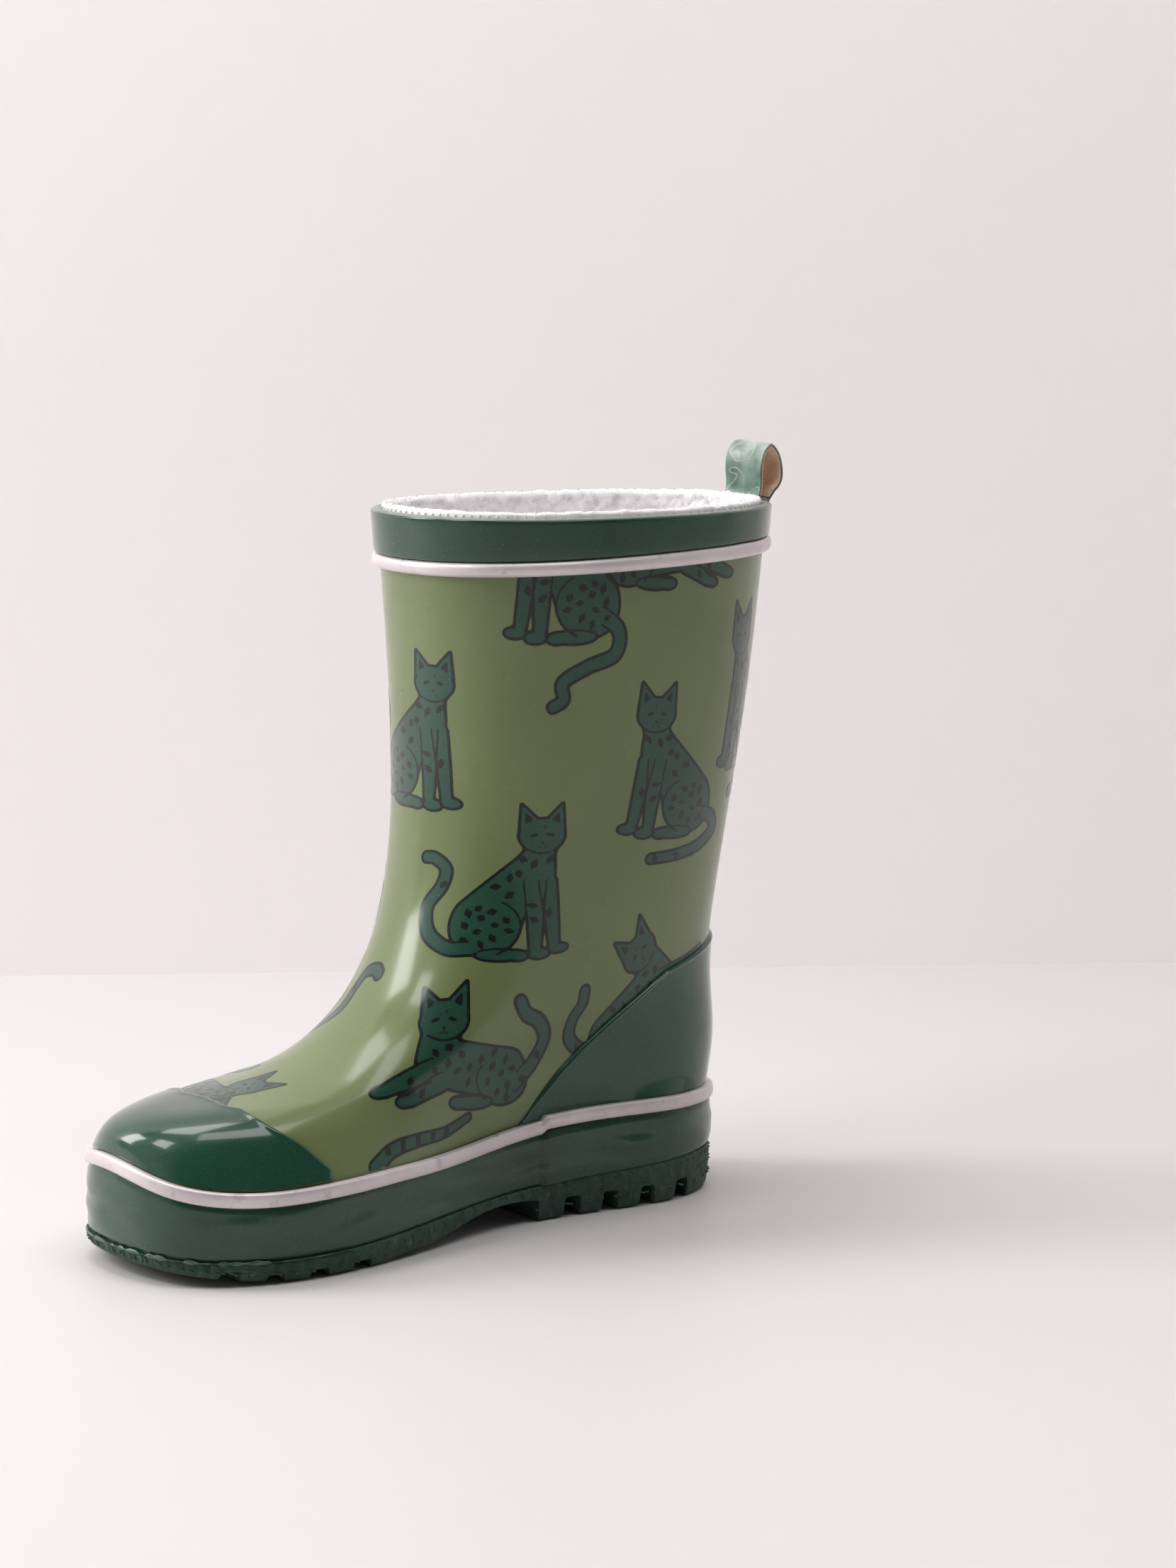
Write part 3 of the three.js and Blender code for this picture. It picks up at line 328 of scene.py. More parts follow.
class Mat:
    """Small helper round one node tree."""

    def __init__(self, name):
        self.m = bpy.data.materials.new(name)
        self.m.use_nodes = True
        self.t = self.m.node_tree
        self.bsdf = self.t.nodes["Principled BSDF"]
        self.co = self.t.nodes.new("ShaderNodeTexCoord").outputs["Object"]

    def node(self, kind, **ins):
        n = self.t.nodes.new("ShaderNode" + kind)
        for k, v in ins.items():
            if hasattr(n, k) and not isinstance(v, bpy.types.NodeSocket) and k not in n.inputs:
                setattr(n, k, v)
        return n

    def link(self, a, b):
        self.t.links.new(a, b)

    def set(self, **kw):
        for k, v in kw.items():
            self.bsdf.inputs[k.replace("_", " ")].default_value = v
        return self

    def scaled(self, s):
        n = self.t.nodes.new("ShaderNodeMapping")
        n.inputs["Scale"].default_value = s
        self.link(self.co, n.inputs["Vector"])
        return n.outputs[0]

    def noise(self, scale, detail=3, rough=0.5, vec=None, dist=0):
        n = self.t.nodes.new("ShaderNodeTexNoise")
        n.inputs["Scale"].default_value = scale
        n.inputs["Detail"].default_value = detail
        n.inputs["Roughness"].default_value = rough
        n.inputs["Distortion"].default_value = dist
        self.link(vec or self.co, n.inputs["Vector"])
        return n.outputs["Fac"]

    def voronoi(self, scale, feature="F1", vec=None, rnd=1.0):
        n = self.t.nodes.new("ShaderNodeTexVoronoi")
        n.feature = feature
        n.inputs["Scale"].default_value = scale
        n.inputs["Randomness"].default_value = rnd
        self.link(vec or self.co, n.inputs["Vector"])
        return n.outputs["Distance"]

    def ramp(self, fac, *stops):
        n = self.t.nodes.new("ShaderNodeValToRGB")
        el = n.color_ramp.elements
        while len(el) < len(stops):
            el.new(0.5)
        for e, (p, c) in zip(el, stops):
            e.position = p
            e.color = c if hasattr(c, "__len__") else (c, c, c, 1)
        self.link(fac, n.inputs["Fac"])
        return n.outputs["Color"]

    def mapr(self, fac, a, b, c, d):
        n = self.t.nodes.new("ShaderNodeMapRange")
        for k, v in zip(("From Min", "From Max", "To Min", "To Max"), (a, b, c, d)):
            n.inputs[k].default_value = v
        self.link(fac, n.inputs["Value"])
        return n.outputs[0]

    def math(self, op, a, b=None):
        n = self.t.nodes.new("ShaderNodeMath")
        n.operation = op
        for i, x in enumerate((a, b)):
            if x is None:
                continue
            if isinstance(x, (int, float)):
                n.inputs[i].default_value = x
            else:
                self.link(x, n.inputs[i])
        return n.outputs[0]

    def mix(self, fac, a, b):
        n = self.t.nodes.new("ShaderNodeMix")
        n.data_type = "RGBA"
        for i, x in ((0, fac), (6, a), (7, b)):
            if isinstance(x, (int, float)):
                n.inputs[i].default_value = x
            elif hasattr(x, "__len__"):
                n.inputs[i].default_value = x
            else:
                self.link(x, n.inputs[i])
        return n.outputs[2]

    def attr(self, name):
        n = self.t.nodes.new("ShaderNodeAttribute")
        n.attribute_name = name
        return n.outputs["Fac"]

    def xyz(self, axis):
        n = self.t.nodes.new("ShaderNodeSeparateXYZ")
        self.link(self.co, n.inputs[0])
        return n.outputs[axis]

    def to(self, socket, out):
        self.link(out, self.bsdf.inputs[socket])
        return self

    def bump(self, *layers):
        """layers are (height output, strength, distance in metres)."""
        last = None
        for h, s, d in layers:
            n = self.t.nodes.new("ShaderNodeBump")
            n.inputs["Strength"].default_value = s
            n.inputs["Distance"].default_value = d
            self.link(h, n.inputs["Height"])
            if last:
                self.link(last, n.inputs["Normal"])
            last = n.outputs[0]
        self.link(last, self.bsdf.inputs["Normal"])
        return self


def lacquer(name, colour, light, dark, rough=0.2, coat=0.9, coat_rough=0.06, wob=1.0, spec=0.5):
    """Glossy lacquered rubber: slight mottling, soft waviness, fine dust."""
    m = Mat(name)
    big = m.noise(22, 2)
    fine = m.noise(900, 2, 0.6)
    col = m.mix(m.mapr(big, 0.35, 0.65, 0, 1), dark, light)
    col = m.mix(m.mapr(m.noise(160, 4), 0.3, 0.7, 0, 0.35), col, colour)
    speck = m.ramp(m.noise(2600, 1, 0.4), (0.70, 0.0), (0.76, 1.0))
    col = m.mix(m.math("MULTIPLY", speck, 0.10), col, (0.7, 0.7, 0.68, 1))
    m.to("Base Color", col)
    m.to("Roughness", m.mapr(m.noise(60, 4), 0.3, 0.7, rough * 0.8, rough * 1.25))
    m.set(Coat_Weight=coat, Coat_Roughness=coat_rough, Coat_IOR=1.5, Specular_IOR_Level=spec)
    m.bump((m.noise(28, 2), 0.30 * wob, 0.0009), (m.noise(85, 2), 0.25 * wob, 0.00025), (fine, 0.12, 0.00004))
    return m.m


SAGE = lacquer("sage_rubber_lacquer", srgb(108, 122, 78), srgb(112, 126, 82), srgb(102, 116, 73), 0.33, 0.7, 0.15, 0.7, 0.2)
GREEN = lacquer("green_rubber_lacquer", srgb(30, 70, 54), srgb(33, 75, 58), srgb(26, 62, 48), 0.22, 0.75, 0.09, 1.0, 0.2)
FOX = lacquer("foxing_rubber", srgb(34, 68, 52), srgb(39, 74, 57), srgb(28, 58, 44), 0.28, 0.6, 0.14, 1.6, 0.25)
INK = lacquer("print_ink", srgb(16, 21, 22), srgb(20, 25, 26), srgb(14, 18, 20), 0.33, 0.7, 0.15, 0.7, 0.2)
CAT = lacquer("print_green", srgb(33, 71, 57), srgb(38, 77, 62), srgb(30, 65, 52), 0.33, 0.7, 0.15, 0.7, 0.2)


def silver():
    m = Mat("silver_bead")
    along = m.noise(45, 3)
    col = m.mix(m.mapr(along, 0.3, 0.7, 0, 1), srgb(210, 200, 204), srgb(230, 220, 222))
    col = m.mix(m.ramp(m.noise(220, 4, 0.65), (0.60, 0.0), (0.72, 0.55)), col, srgb(150, 144, 146))
    m.to("Base Color", col)
    m.to("Roughness", m.mapr(m.noise(500, 3), 0.3, 0.7, 0.32, 0.5))
    m.set(Metallic=0.3, Coat_Weight=0.35, Coat_Roughness=0.15)
    m.bump((m.noise(120, 3), 0.3, 0.0003), (m.noise(1500, 2), 0.15, 0.00005))
    return m.m


def sole_rubber():
    m = Mat("sole_rubber_matte")
    st = m.scaled((1, 1, 0.55))
    peb = m.voronoi(620, "SMOOTH_F1", st)
    col = m.mix(m.mapr(m.noise(60, 4), 0.3, 0.7, 0, 1), srgb(30, 58, 47), srgb(46, 74, 62))
    col = m.mix(m.ramp(m.noise(380, 4, 0.7), (0.58, 0.0), (0.72, 0.5)), col, srgb(104, 122, 112))
    m.to("Base Color", col)
    m.to("Roughness", m.mapr(peb, 0, 0.8, 0.5, 0.8))
    m.bump((m.math("SUBTRACT", 1.0, peb), 0.8, 0.0006), (m.noise(900, 3), 0.3, 0.0001))
    return m.m


def fluff():
    m = Mat("lining_pile")
    tuft = m.noise(420, 5, 0.7)
    clump = m.voronoi(260)
    col = m.mix(m.mapr(tuft, 0.35, 0.65, 0, 1), srgb(246, 243, 244), srgb(255, 254, 255))
    m.to("Base Color", col)
    m.set(Roughness=0.95, Sheen_Weight=0.5, Sheen_Roughness=0.5, Specular_IOR_Level=0.2)
    m.bump((clump, 0.3, 0.0004), (tuft, 0.5, 0.0004), (m.noise(2400, 2), 0.4, 0.0002))
    return m.m


def insole_cloth():
    m = Mat("insole_cloth")
    w = m.t.nodes.new("ShaderNodeTexWave")
    w.inputs["Scale"].default_value = 400
    m.link(m.co, w.inputs["Vector"])
    w2 = m.t.nodes.new("ShaderNodeTexWave")
    w2.bands_direction = "Y"
    w2.inputs["Scale"].default_value = 400
    m.link(m.co, w2.inputs["Vector"])
    weave = m.math("MULTIPLY", w.outputs["Fac"], w2.outputs["Fac"])
    col = m.mix(m.mapr(m.noise(80, 4), 0.3, 0.7, 0, 1), srgb(196, 192, 190), srgb(222, 218, 216))
    col = m.mix(m.math("MULTIPLY", weave, 0.3), col, srgb(150, 146, 144))
    m.to("Base Color", col)
    m.set(Roughness=0.9, Sheen_Weight=0.3)
    m.bump((weave, 0.5, 0.0002), (m.noise(900, 3), 0.4, 0.0002))
    return m.m


def rim_cut():
    m = Mat("rim_cut_edge")
    col = m.mix(m.mapr(m.noise(90, 4, 0.6), 0.3, 0.7, 0, 1), srgb(112, 124, 116), srgb(146, 150, 144))
    col = m.mix(m.ramp(m.noise(700, 3, 0.6), (0.58, 0.0), (0.7, 0.6)), col, srgb(70, 88, 78))
    m.to("Base Color", col)
    m.set(Roughness=0.42, Coat_Weight=0.2, Coat_Roughness=0.3)
    m.bump((m.noise(700, 3), 0.4, 0.00012))
    return m.m


def strap_rubber():
    """Strap rubber, worn pale over the fold, with fine pale creases."""
    m = Mat("strap_rubber")
    z = m.xyz(2)
    worn = m.mapr(z, 0.1985, 0.2055, 0.0, 0.75)
    patchy = m.ramp(m.noise(260, 4, 0.6), (0.38, 0.25), (0.62, 1.0))
    col = m.mix(m.mapr(m.noise(190, 4), 0.35, 0.65, 0, 1), srgb(64, 98, 84), srgb(96, 128, 112))
    col = m.mix(m.math("MULTIPLY", worn, patchy), col, srgb(176, 188, 180))
    n = m.noise(75, 1.5, 0.5, None, 0.6)
    crease = m.ramp(m.math("ABSOLUTE", m.math("SUBTRACT", n, 0.5)), (0.0, 1.0), (0.012, 0.0))
    col = m.mix(m.math("MULTIPLY", crease, 0.4), col, srgb(196, 196, 170))
    m.to("Base Color", col)
    m.to("Roughness", m.mapr(patchy, 0, 1, 0.25, 0.45))
    m.set(Coat_Weight=0.4, Coat_Roughness=0.2)
    m.bump((m.noise(170, 2), 0.6, 0.0006), (crease, 0.4, 0.0002), (m.noise(1400, 2), 0.15, 0.00006))
    return m.m


def canvas():
    m = Mat("canvas_backing")
    w = m.t.nodes.new("ShaderNodeTexWave")
    w.bands_direction = "X"
    w.inputs["Scale"].default_value = 520
    w.inputs["Distortion"].default_value = 1.5
    m.link(m.co, w.inputs["Vector"])
    w2 = m.t.nodes.new("ShaderNodeTexWave")
    w2.bands_direction = "Z"
    w2.inputs["Scale"].default_value = 520
    w2.inputs["Distortion"].default_value = 1.5
    m.link(m.co, w2.inputs["Vector"])
    weave = m.math("MAXIMUM", w.outputs["Fac"], w2.outputs["Fac"])
    col = m.mix(m.mapr(m.noise(300, 3), 0.3, 0.7, 0, 1), srgb(238, 196, 158), srgb(250, 224, 198))
    m.to("Base Color", m.mix(m.math("MULTIPLY", weave, 0.4), col, srgb(228, 208, 182)))
    m.set(Roughness=0.9, Sheen_Weight=0.2)
    m.bump((weave, 0.7, 0.00025))
    return m.m


def flash_rubber():
    m = Mat("mould_flash")
    col = m.mix(m.mapr(m.noise(200, 4), 0.35, 0.65, 0, 1), srgb(44, 74, 60), srgb(74, 100, 86))
    m.to("Base Color", col)
    m.set(Roughness=0.4, Coat_Weight=0.3, Coat_Roughness=0.25)
    m.bump((m.noise(500, 3), 0.4, 0.0002))
    return m.m


def thread():
    m = Mat("stitch_thread")
    m.to("Base Color", m.mix(m.mapr(m.noise(900, 2), 0.3, 0.7, 0, 1), srgb(186, 182, 184), srgb(226, 222, 224)))
    m.set(Roughness=0.8)
    m.bump((m.noise(3000, 2), 0.5, 0.0001))
    return m.m


def board_paper():
    m = Mat("fibre_board")
    m.to("Base Color", m.mix(m.mapr(m.noise(300, 5, 0.7), 0.3, 0.7, 0, 1), srgb(140, 122, 98), srgb(168, 150, 124)))
    m.set(Roughness=0.9)
    m.bump((m.noise(1200, 4), 0.4, 0.0002))
    return m.m


def filler_foam():
    m = Mat("filler_foam")
    cells = m.voronoi(900)
    m.to("Base Color", m.mix(cells, srgb(52, 54, 52), srgb(78, 80, 76)))
    m.set(Roughness=0.9)
    m.bump((cells, 0.6, 0.0003))
    return m.m


SILVER, SOLE, FLUFF, RIM = silver(), sole_rubber(), fluff(), rim_cut()
STRAP, CANVAS, FLASH, THREAD = strap_rubber(), canvas(), flash_rubber(), thread()
BOARD, FOAM, INSOLE = board_paper(), filler_foam(), insole_cloth()

# ------------------------------------------------------------------ upper
N = 240
TH = np.arange(N) * 2 * np.pi / N


def rows(vs, off):
    return upper(TH[None, :], np.asarray(vs)[:, None], off)


def lerp(tab, x):
    tab = np.array(tab)
    return np.interp(x, tab[:, 0], tab[:, 1])


def soft_tab(tab, width, x):
    """Piecewise-linear table with its corners rounded over width."""
    s = np.linspace(-1, 1, 9)
    return sum(lerp(tab, x + k * width) * (1 - abs(k)) for k in s) / sum(1 - abs(k) for k in s)


vs = np.concatenate([np.linspace(0, 0.3, 70, endpoint=False), np.linspace(0.3, 1.0, 100)])
outer = [outline(TH, WELT_INSET + 13.6, bed(outline(TH, WELT_INSET + 13.6, 0)[:, 1]))]
outer += [on_bed(TH, WELT_INSET + 2.6, 0.0), on_bed(TH, WELT_INSET + 1.1, 0.8), on_bed(TH, WELT_INSET + 0.3, 2.6)]
outer += list(rows(vs[:-1], 0.0))
top = [upper(TH, 1.0 - 0.0012, 0.0), upper(TH, 1.0, -0.15), upper(TH, 1.0, -SHELL_T + 0.15), upper(TH, 1.0 - 0.0012, -SHELL_T)]
vin = np.linspace(1, 0, 40)[1:]
inner = list(rows(vin, -SHELL_T))
inner += [on_bed(TH, WELT_INSET + 0.3 + SHELL_T, 2.6 + SHELL_T / 2), on_bed(TH, WELT_INSET + 2.6 + 0.84, SHELL_T)]
inner += [on_bed(TH, WELT_INSET + 13.6, SHELL_T)]
shell = torus("upper_shell_rubber", np.array(outer + top + inner), SAGE, smooth_angle=50)
place(shell, "boot", "sage_rubber", "upper_shell")


# ------------------------------------------------------------------ patches
def v_low(th):
    p = surf(th, 0.05)
    return 0.05 * 0.3 / np.maximum(p[..., 2] - ZT(th), 1)


VMM = 1 / 188.0  # height parameter per mm, near enough for edge profiles
CAP_EDGE = [[0, 0.15], [12, 0.143], [31, 0.112], [39, 0.085], [44, 0.066], [48, 0.053], [52, 0.040], [55, 0.027], [57.5, 0.016], [59, 0.008], [62, 0.004]]


def edge_height(d, t=0.85):
    """Patch height above the upper at distance d (mm) from its edge: a rounded edge with a faint raised lip."""
    rise = np.sqrt(np.clip(1 - (1 - np.clip(d / 0.55, 0, 1)) ** 2, 0, 1))
    return 0.02 + (t - 0.02) * rise + 0.16 * np.exp(-(((d - 0.75) / 0.5) ** 2))


def toe_cap():
    a = np.linspace(-59, 59, 190)
    t = 1 - np.concatenate([[0, 0.004, 0.01, 0.018, 0.028, 0.04, 0.055, 0.075, 0.1], np.linspace(0.13, 1, 44)])
    th = (np.pi - a * RAD)[:, None]
    lo, hi = v_low(th), np.maximum(soft_tab(CAP_EDGE, 2.0, np.abs(a))[:, None], v_low(th) + 0.003)
    v = lo + (hi - lo) * t[None, :]
    d = (hi - v) / VMM
    ends = (59 - np.abs(a))[:, None] * 0.62
    d = np.minimum(d, np.maximum(ends, 0))
    T = np.broadcast_to(th, v.shape)
    return slab("toe_cap_patch", upper(T, v, -0.15), upper(T, v, edge_height(d)), GREEN, smooth_angle=60)


place(toe_cap(), "boot", "green_rubber", "toe_cap")
COUNTER_EDGE = [[0, 78.5], [0.018, 77.5], [0.048, 76.5], [0.078, 75.3], [0.11, 74.2], [0.15, 73.4], [0.185, 72.3], [0.216, 70.8], [0.238, 69], [0.263, 66], [0.285, 62.5], [0.3, 58]]


def heel_counter():
    u = np.linspace(0, 1, 100)
    a = np.concatenate([-(1 - (u**1.0) * 1.0), u[1:]])
    edge = np.array([0, 0.003, 0.007, 0.013, 0.02, 0.03, 0.045])
    a = np.unique(np.round(np.concatenate([a, -1 + edge, 1 - edge]), 5))
    b = np.unique(np.round(np.concatenate([np.linspace(0, 1, 70), 1 - edge * 0.9]), 5))
    A, B = np.meshgrid(a, b, indexing="ij")
    vsd = 0.3 * B
    half = soft_tab(COUNTER_EDGE, 0.012, vsd)
    th = A * half * RAD
    v = np.maximum(vsd, v_low(th) * (1 - B) + vsd * B) + B**3 * 0.034 * (1 - A**2)
    side = (1 - np.abs(A)) * half * RAD * 34
    topd = (1 - B) * 0.3 / VMM * 0.95 + 0.0
    d = np.minimum(side, topd)
    return slab("heel_counter_patch", upper(th, v, -0.15), upper(th, v, edge_height(d, 0.9)), GREEN, smooth_angle=60)


place(heel_counter(), "boot", "green_rubber", "heel_counter")


def back_strip():
    a = np.array([-3.4, -3.3, -3.1, -2.6, -1.6, 0, 1.6, 2.6, 3.1, 3.3, 3.4])
    v = np.linspace(0.325, 0.934, 110)
    A, V = np.meshgrid(a, v, indexing="ij")
    d = (3.4 - np.abs(A)) * RAD * 40
    h = 0.05 + 0.45 * np.sqrt(np.clip(1 - (1 - np.clip(d / 0.35, 0, 1)) ** 2, 0, 1))
    return slab("back_seam_strip", upper(A * RAD, V, -0.1), upper(A * RAD, V, h), GREEN, smooth_angle=60)


place(back_strip(), "boot", "green_rubber", "back_strip")


# ------------------------------------------------------------------ collar
def collar_low(th):
    c = 1 + np.cos(th)
    return 0.9365 + 0.0155 * c - 0.002 * c * c


def profile_ring(name, lo, hi, prof, mat, n=N, wob=0.0, seed=1, **kw):
    """prof is a closed list of (share of height, offset in mm)."""
    th = np.arange(n) * 2 * np.pi / n
    rings = []
    for t, off in prof:
        o = np.full(n, float(off))
        if wob:
            p = surf(th, 0.95)
            o = o + wob * wave_noise(p, (26, 26, 26), seed)
        rings.append(upper(th, lo(th) + (hi(th) - lo(th)) * t, o))
    return torus(name, np.array(rings), mat, **kw)


def arc(c, r, a0, a1, n):
    return [(c[0] + r * math.cos(a * RAD), c[1] + r * math.sin(a * RAD)) for a in np.linspace(a0, a1, n)]


Hc = 11.3  # collar height, mm


def collar_profile():
    # (height mm, offset mm) round the band's section
    pts = [(0.0, 0.05), (0.0, 1.0)] + arc((0.45, 1.0), 0.45, 180, 90, 5)[1:] + [(2, 1.5), (4, 1.52), (6, 1.5), (8, 1.52), (9.6, 1.5)]
    pts += arc((Hc - 0.55, 0.95), 0.55, 90, 0, 6) + [(Hc, 0.4), (Hc, -SHELL_T + 0.3)] + [(Hc - 0.3, -SHELL_T), (Hc - 0.6, 0.02)]
    return [(h / Hc, o) for h, o in pts]


band = profile_ring("collar_band_rubber", collar_low, lambda t: 1.0 + 0.0 * t, collar_profile(), GREEN, wob=0.06, seed=5, smooth_angle=45)
place(band, "boot", "green_rubber", "collar_band")
# pale cut edge lying on the rim
rim_prof = [(-0.35, 1.22), (0.10, 1.15), (0.28, 0.85), (0.34, 0.2), (0.32, -0.5), (0.22, -0.95), (-0.05, -1.15), (-0.4, -0.9), (-0.4, 0.8)]
rim = profile_ring("rim_cut_edge", lambda t: 1.0 + 0 * t, lambda t: 1.0 + VMM * 1.0 + 0 * t, [(h, o) for h, o in rim_prof], RIM, n=360, wob=0.05, seed=8, smooth_angle=60)
place(rim, "boot", "green_rubber")


def bead_prof(w, h, base=0.05, n=9):
    """Half-round bead: w tall, h proud."""
    pts = [(0.0, base)]
    for a in np.linspace(180, 0, n):
        pts.append((w / 2 + w / 2 * math.cos(a * RAD), base + h * (math.sin(a * RAD) ** 0.62 if 0 < a < 180 else 0)))
    return [(x / w, o) for x, o in pts] + [(1.0, base - 0.3), (0.0, base - 0.3)]


bead = profile_ring("collar_stripe_bead", lambda t: collar_low(t) - 4.3 * VMM, lambda t: collar_low(t) - 0.25 * VMM, bead_prof(4.0, 2.1)[1:], SILVER, n=360, wob=0.05, seed=9, smooth_angle=70)
place(bead, "boot", "silver_rubber", "collar_stripe")

# ------------------------------------------------------------------ foxing
NF = 600
TF = np.arange(NF) * 2 * np.pi / NF
SEAM = 74 * RAD


def seam_step(th):
    """1 on the heel side of the lap, 0 on the toe side, inner face only."""
    a = (th + np.pi) % (2 * np.pi) - np.pi
    s = smooth((SEAM - a) / (0.5 * RAD) + 0.5)
    back = smooth((a + 150 * RAD) / (60 * RAD))
    thick = 0.5 + 2.3 * np.exp(-np.maximum(SEAM - a, 0) / (11 * RAD))
    return np.where(a > -150 * RAD, s * back * thick, 0.0)


def foxing():
    hs = np.array([0, 0.03, 0.08, 0.15, 0.22, 0.3, 0.38, 0.46, 0.54, 0.62, 0.7, 0.78, 0.86, 0.92, 0.97, 1.0])
    rings = []
    lap = seam_step(TF)
    zb = ZB(TF)
    zt = ZT(TF) - STRIPE_H + 0.1
    rings.append(outline(TF, 1.6, zb + 0.1))
    for h in hs:
        z = zb + (zt - zb) * h
        belly = 0.35 * np.sin(np.pi * h) ** 0.7 - 0.28
        edge = -0.55 * np.exp(-((h / 0.05) ** 2)) - 0.5 * np.exp(-(((1 - h) / 0.05) ** 2))
        p = outline(TF, 0.0, z)
        dent = 0.26 * wave_noise(p, (36, 36, 6.5), 11) * np.sin(np.pi * h) + 0.13 * wave_noise(p, (14, 14, 7), 12) * np.sin(np.pi * h)
        rings.append(outline(TF, -(belly + edge + dent + 0.42 * lap - 0.15), z))
    rings.append(outline(TF, 1.6, zt))
    return torus("foxing_tape_rubber", np.array(rings), FOX, smooth_angle=60)


place(foxing(), "boot", "green_rubber", "foxing_tape")


def fox_stripe():
    lap = seam_step(TF)
    zt = ZT(TF) + 0.5 * lap + 0.10 * wave_noise(outline(TF, 0, 0), (30, 30, 30), 14)
    w = STRIPE_H + 0.15
    rings = [outline(TF, 1.6, zt - w)]
    for a in np.linspace(180, 0, 11):
        h = w / 2 + w / 2 * math.cos(a * RAD)
        o = 0.9 * (math.sin(a * RAD) ** 0.6 if 0 < a < 180 else 0) - 0.35
        rings.append(outline(TF, -(o + 0.40 * lap), zt - w + h))
    rings.append(outline(TF, 1.9, zt - 0.1))
    return torus("foxing_stripe_bead", np.array(rings), SILVER, smooth_angle=70)


place(fox_stripe(), "boot", "silver_rubber", "foxing_stripe")


def flash_line():
    """Thin torn line of moulding flash along the bottom edge of the foxing round the toe."""
    th = np.linspace(118, 262, 520) * RAD
    p = outline(th, 0, 0)
    amp = np.clip(0.55 + 0.5 * wave_noise(p, (9, 9, 9), 21) + 0.35 * wave_noise(p, (3, 3, 3), 22), 0.02, 1.3)
    fade = smooth((th / RAD - 118) / 14) * smooth((262 - th / RAD) / 14)
    amp = np.maximum(amp * fade, 0.02)
    z = ZB(th)
    rings = [outline(th, 0.6, z - 0.1), outline(th, 0.05, z - 0.45 * amp), outline(th, -0.25, z - 0.25 * amp), outline(th, -0.28, z + 0.25 * amp), outline(th, 0.0, z + 0.65 * amp), outline(th, 0.6, z + 0.1)]
    rings = np.array(rings)
    m, n = rings.shape[:2]
    faces = grid_faces(m, n, True, False)
    faces += [[i * n for i in range(m)][::-1], [i * n + n - 1 for i in range(m)]]
    return add_mesh("mould_flash_line", rings.reshape(-1, 3), faces, FLASH, smooth_angle=60)


place(flash_line(), "boot", "green_rubber")

# ------------------------------------------------------------------ outsole
def prism_x(name, profiles, x0, x1):
    verts, faces = [], []
    for prof in profiles:
        b, n = len(verts), len(prof)
        verts += [(x0, y, z) for y, z in prof] + [(x1, y, z) for y, z in prof]
        faces += [[b + i for i in range(n)], [b + n + i for i in range(n)][::-1]]
        faces += [[b + (i + 1) % n, b + i, b + n + i, b + n + (i + 1) % n] for i in range(n)]
    p = to_metres(verts)
    me = bpy.data.meshes.new(name)
    me.from_pydata(p.tolist(), [], faces)
    me.validate()
    import bmesh
    bm = bmesh.new()
    bm.from_mesh(me)
    bmesh.ops.recalc_face_normals(bm, faces=bm.faces)
    bm.to_mesh(me)
    bm.free()
    ob = bpy.data.objects.new(name, me)
    bpy.context.scene.collection.objects.link(ob)
    return ob


FORE_GROOVES = [[-89, -83.4], [-77.6, -72.6], [-65.8, -59.8], [-52.4, -46.2]]
HEEL_GROOVES = [[24.6, 30.1], [36.8, 42.1], [48.9, 54.0], [61.2, 66.4]]
ARCH = [[-41, -1], [-40.2, 0.6], [-38.5, 1.2], [-32, 1.4], [-24, 1.9], [-17, 3.2], [-10, 5.0], [-4, 6.2], [2, 6.8], [8, 6.8], [13, 6.4], [15.9, 6.0], [16.7, -1]]


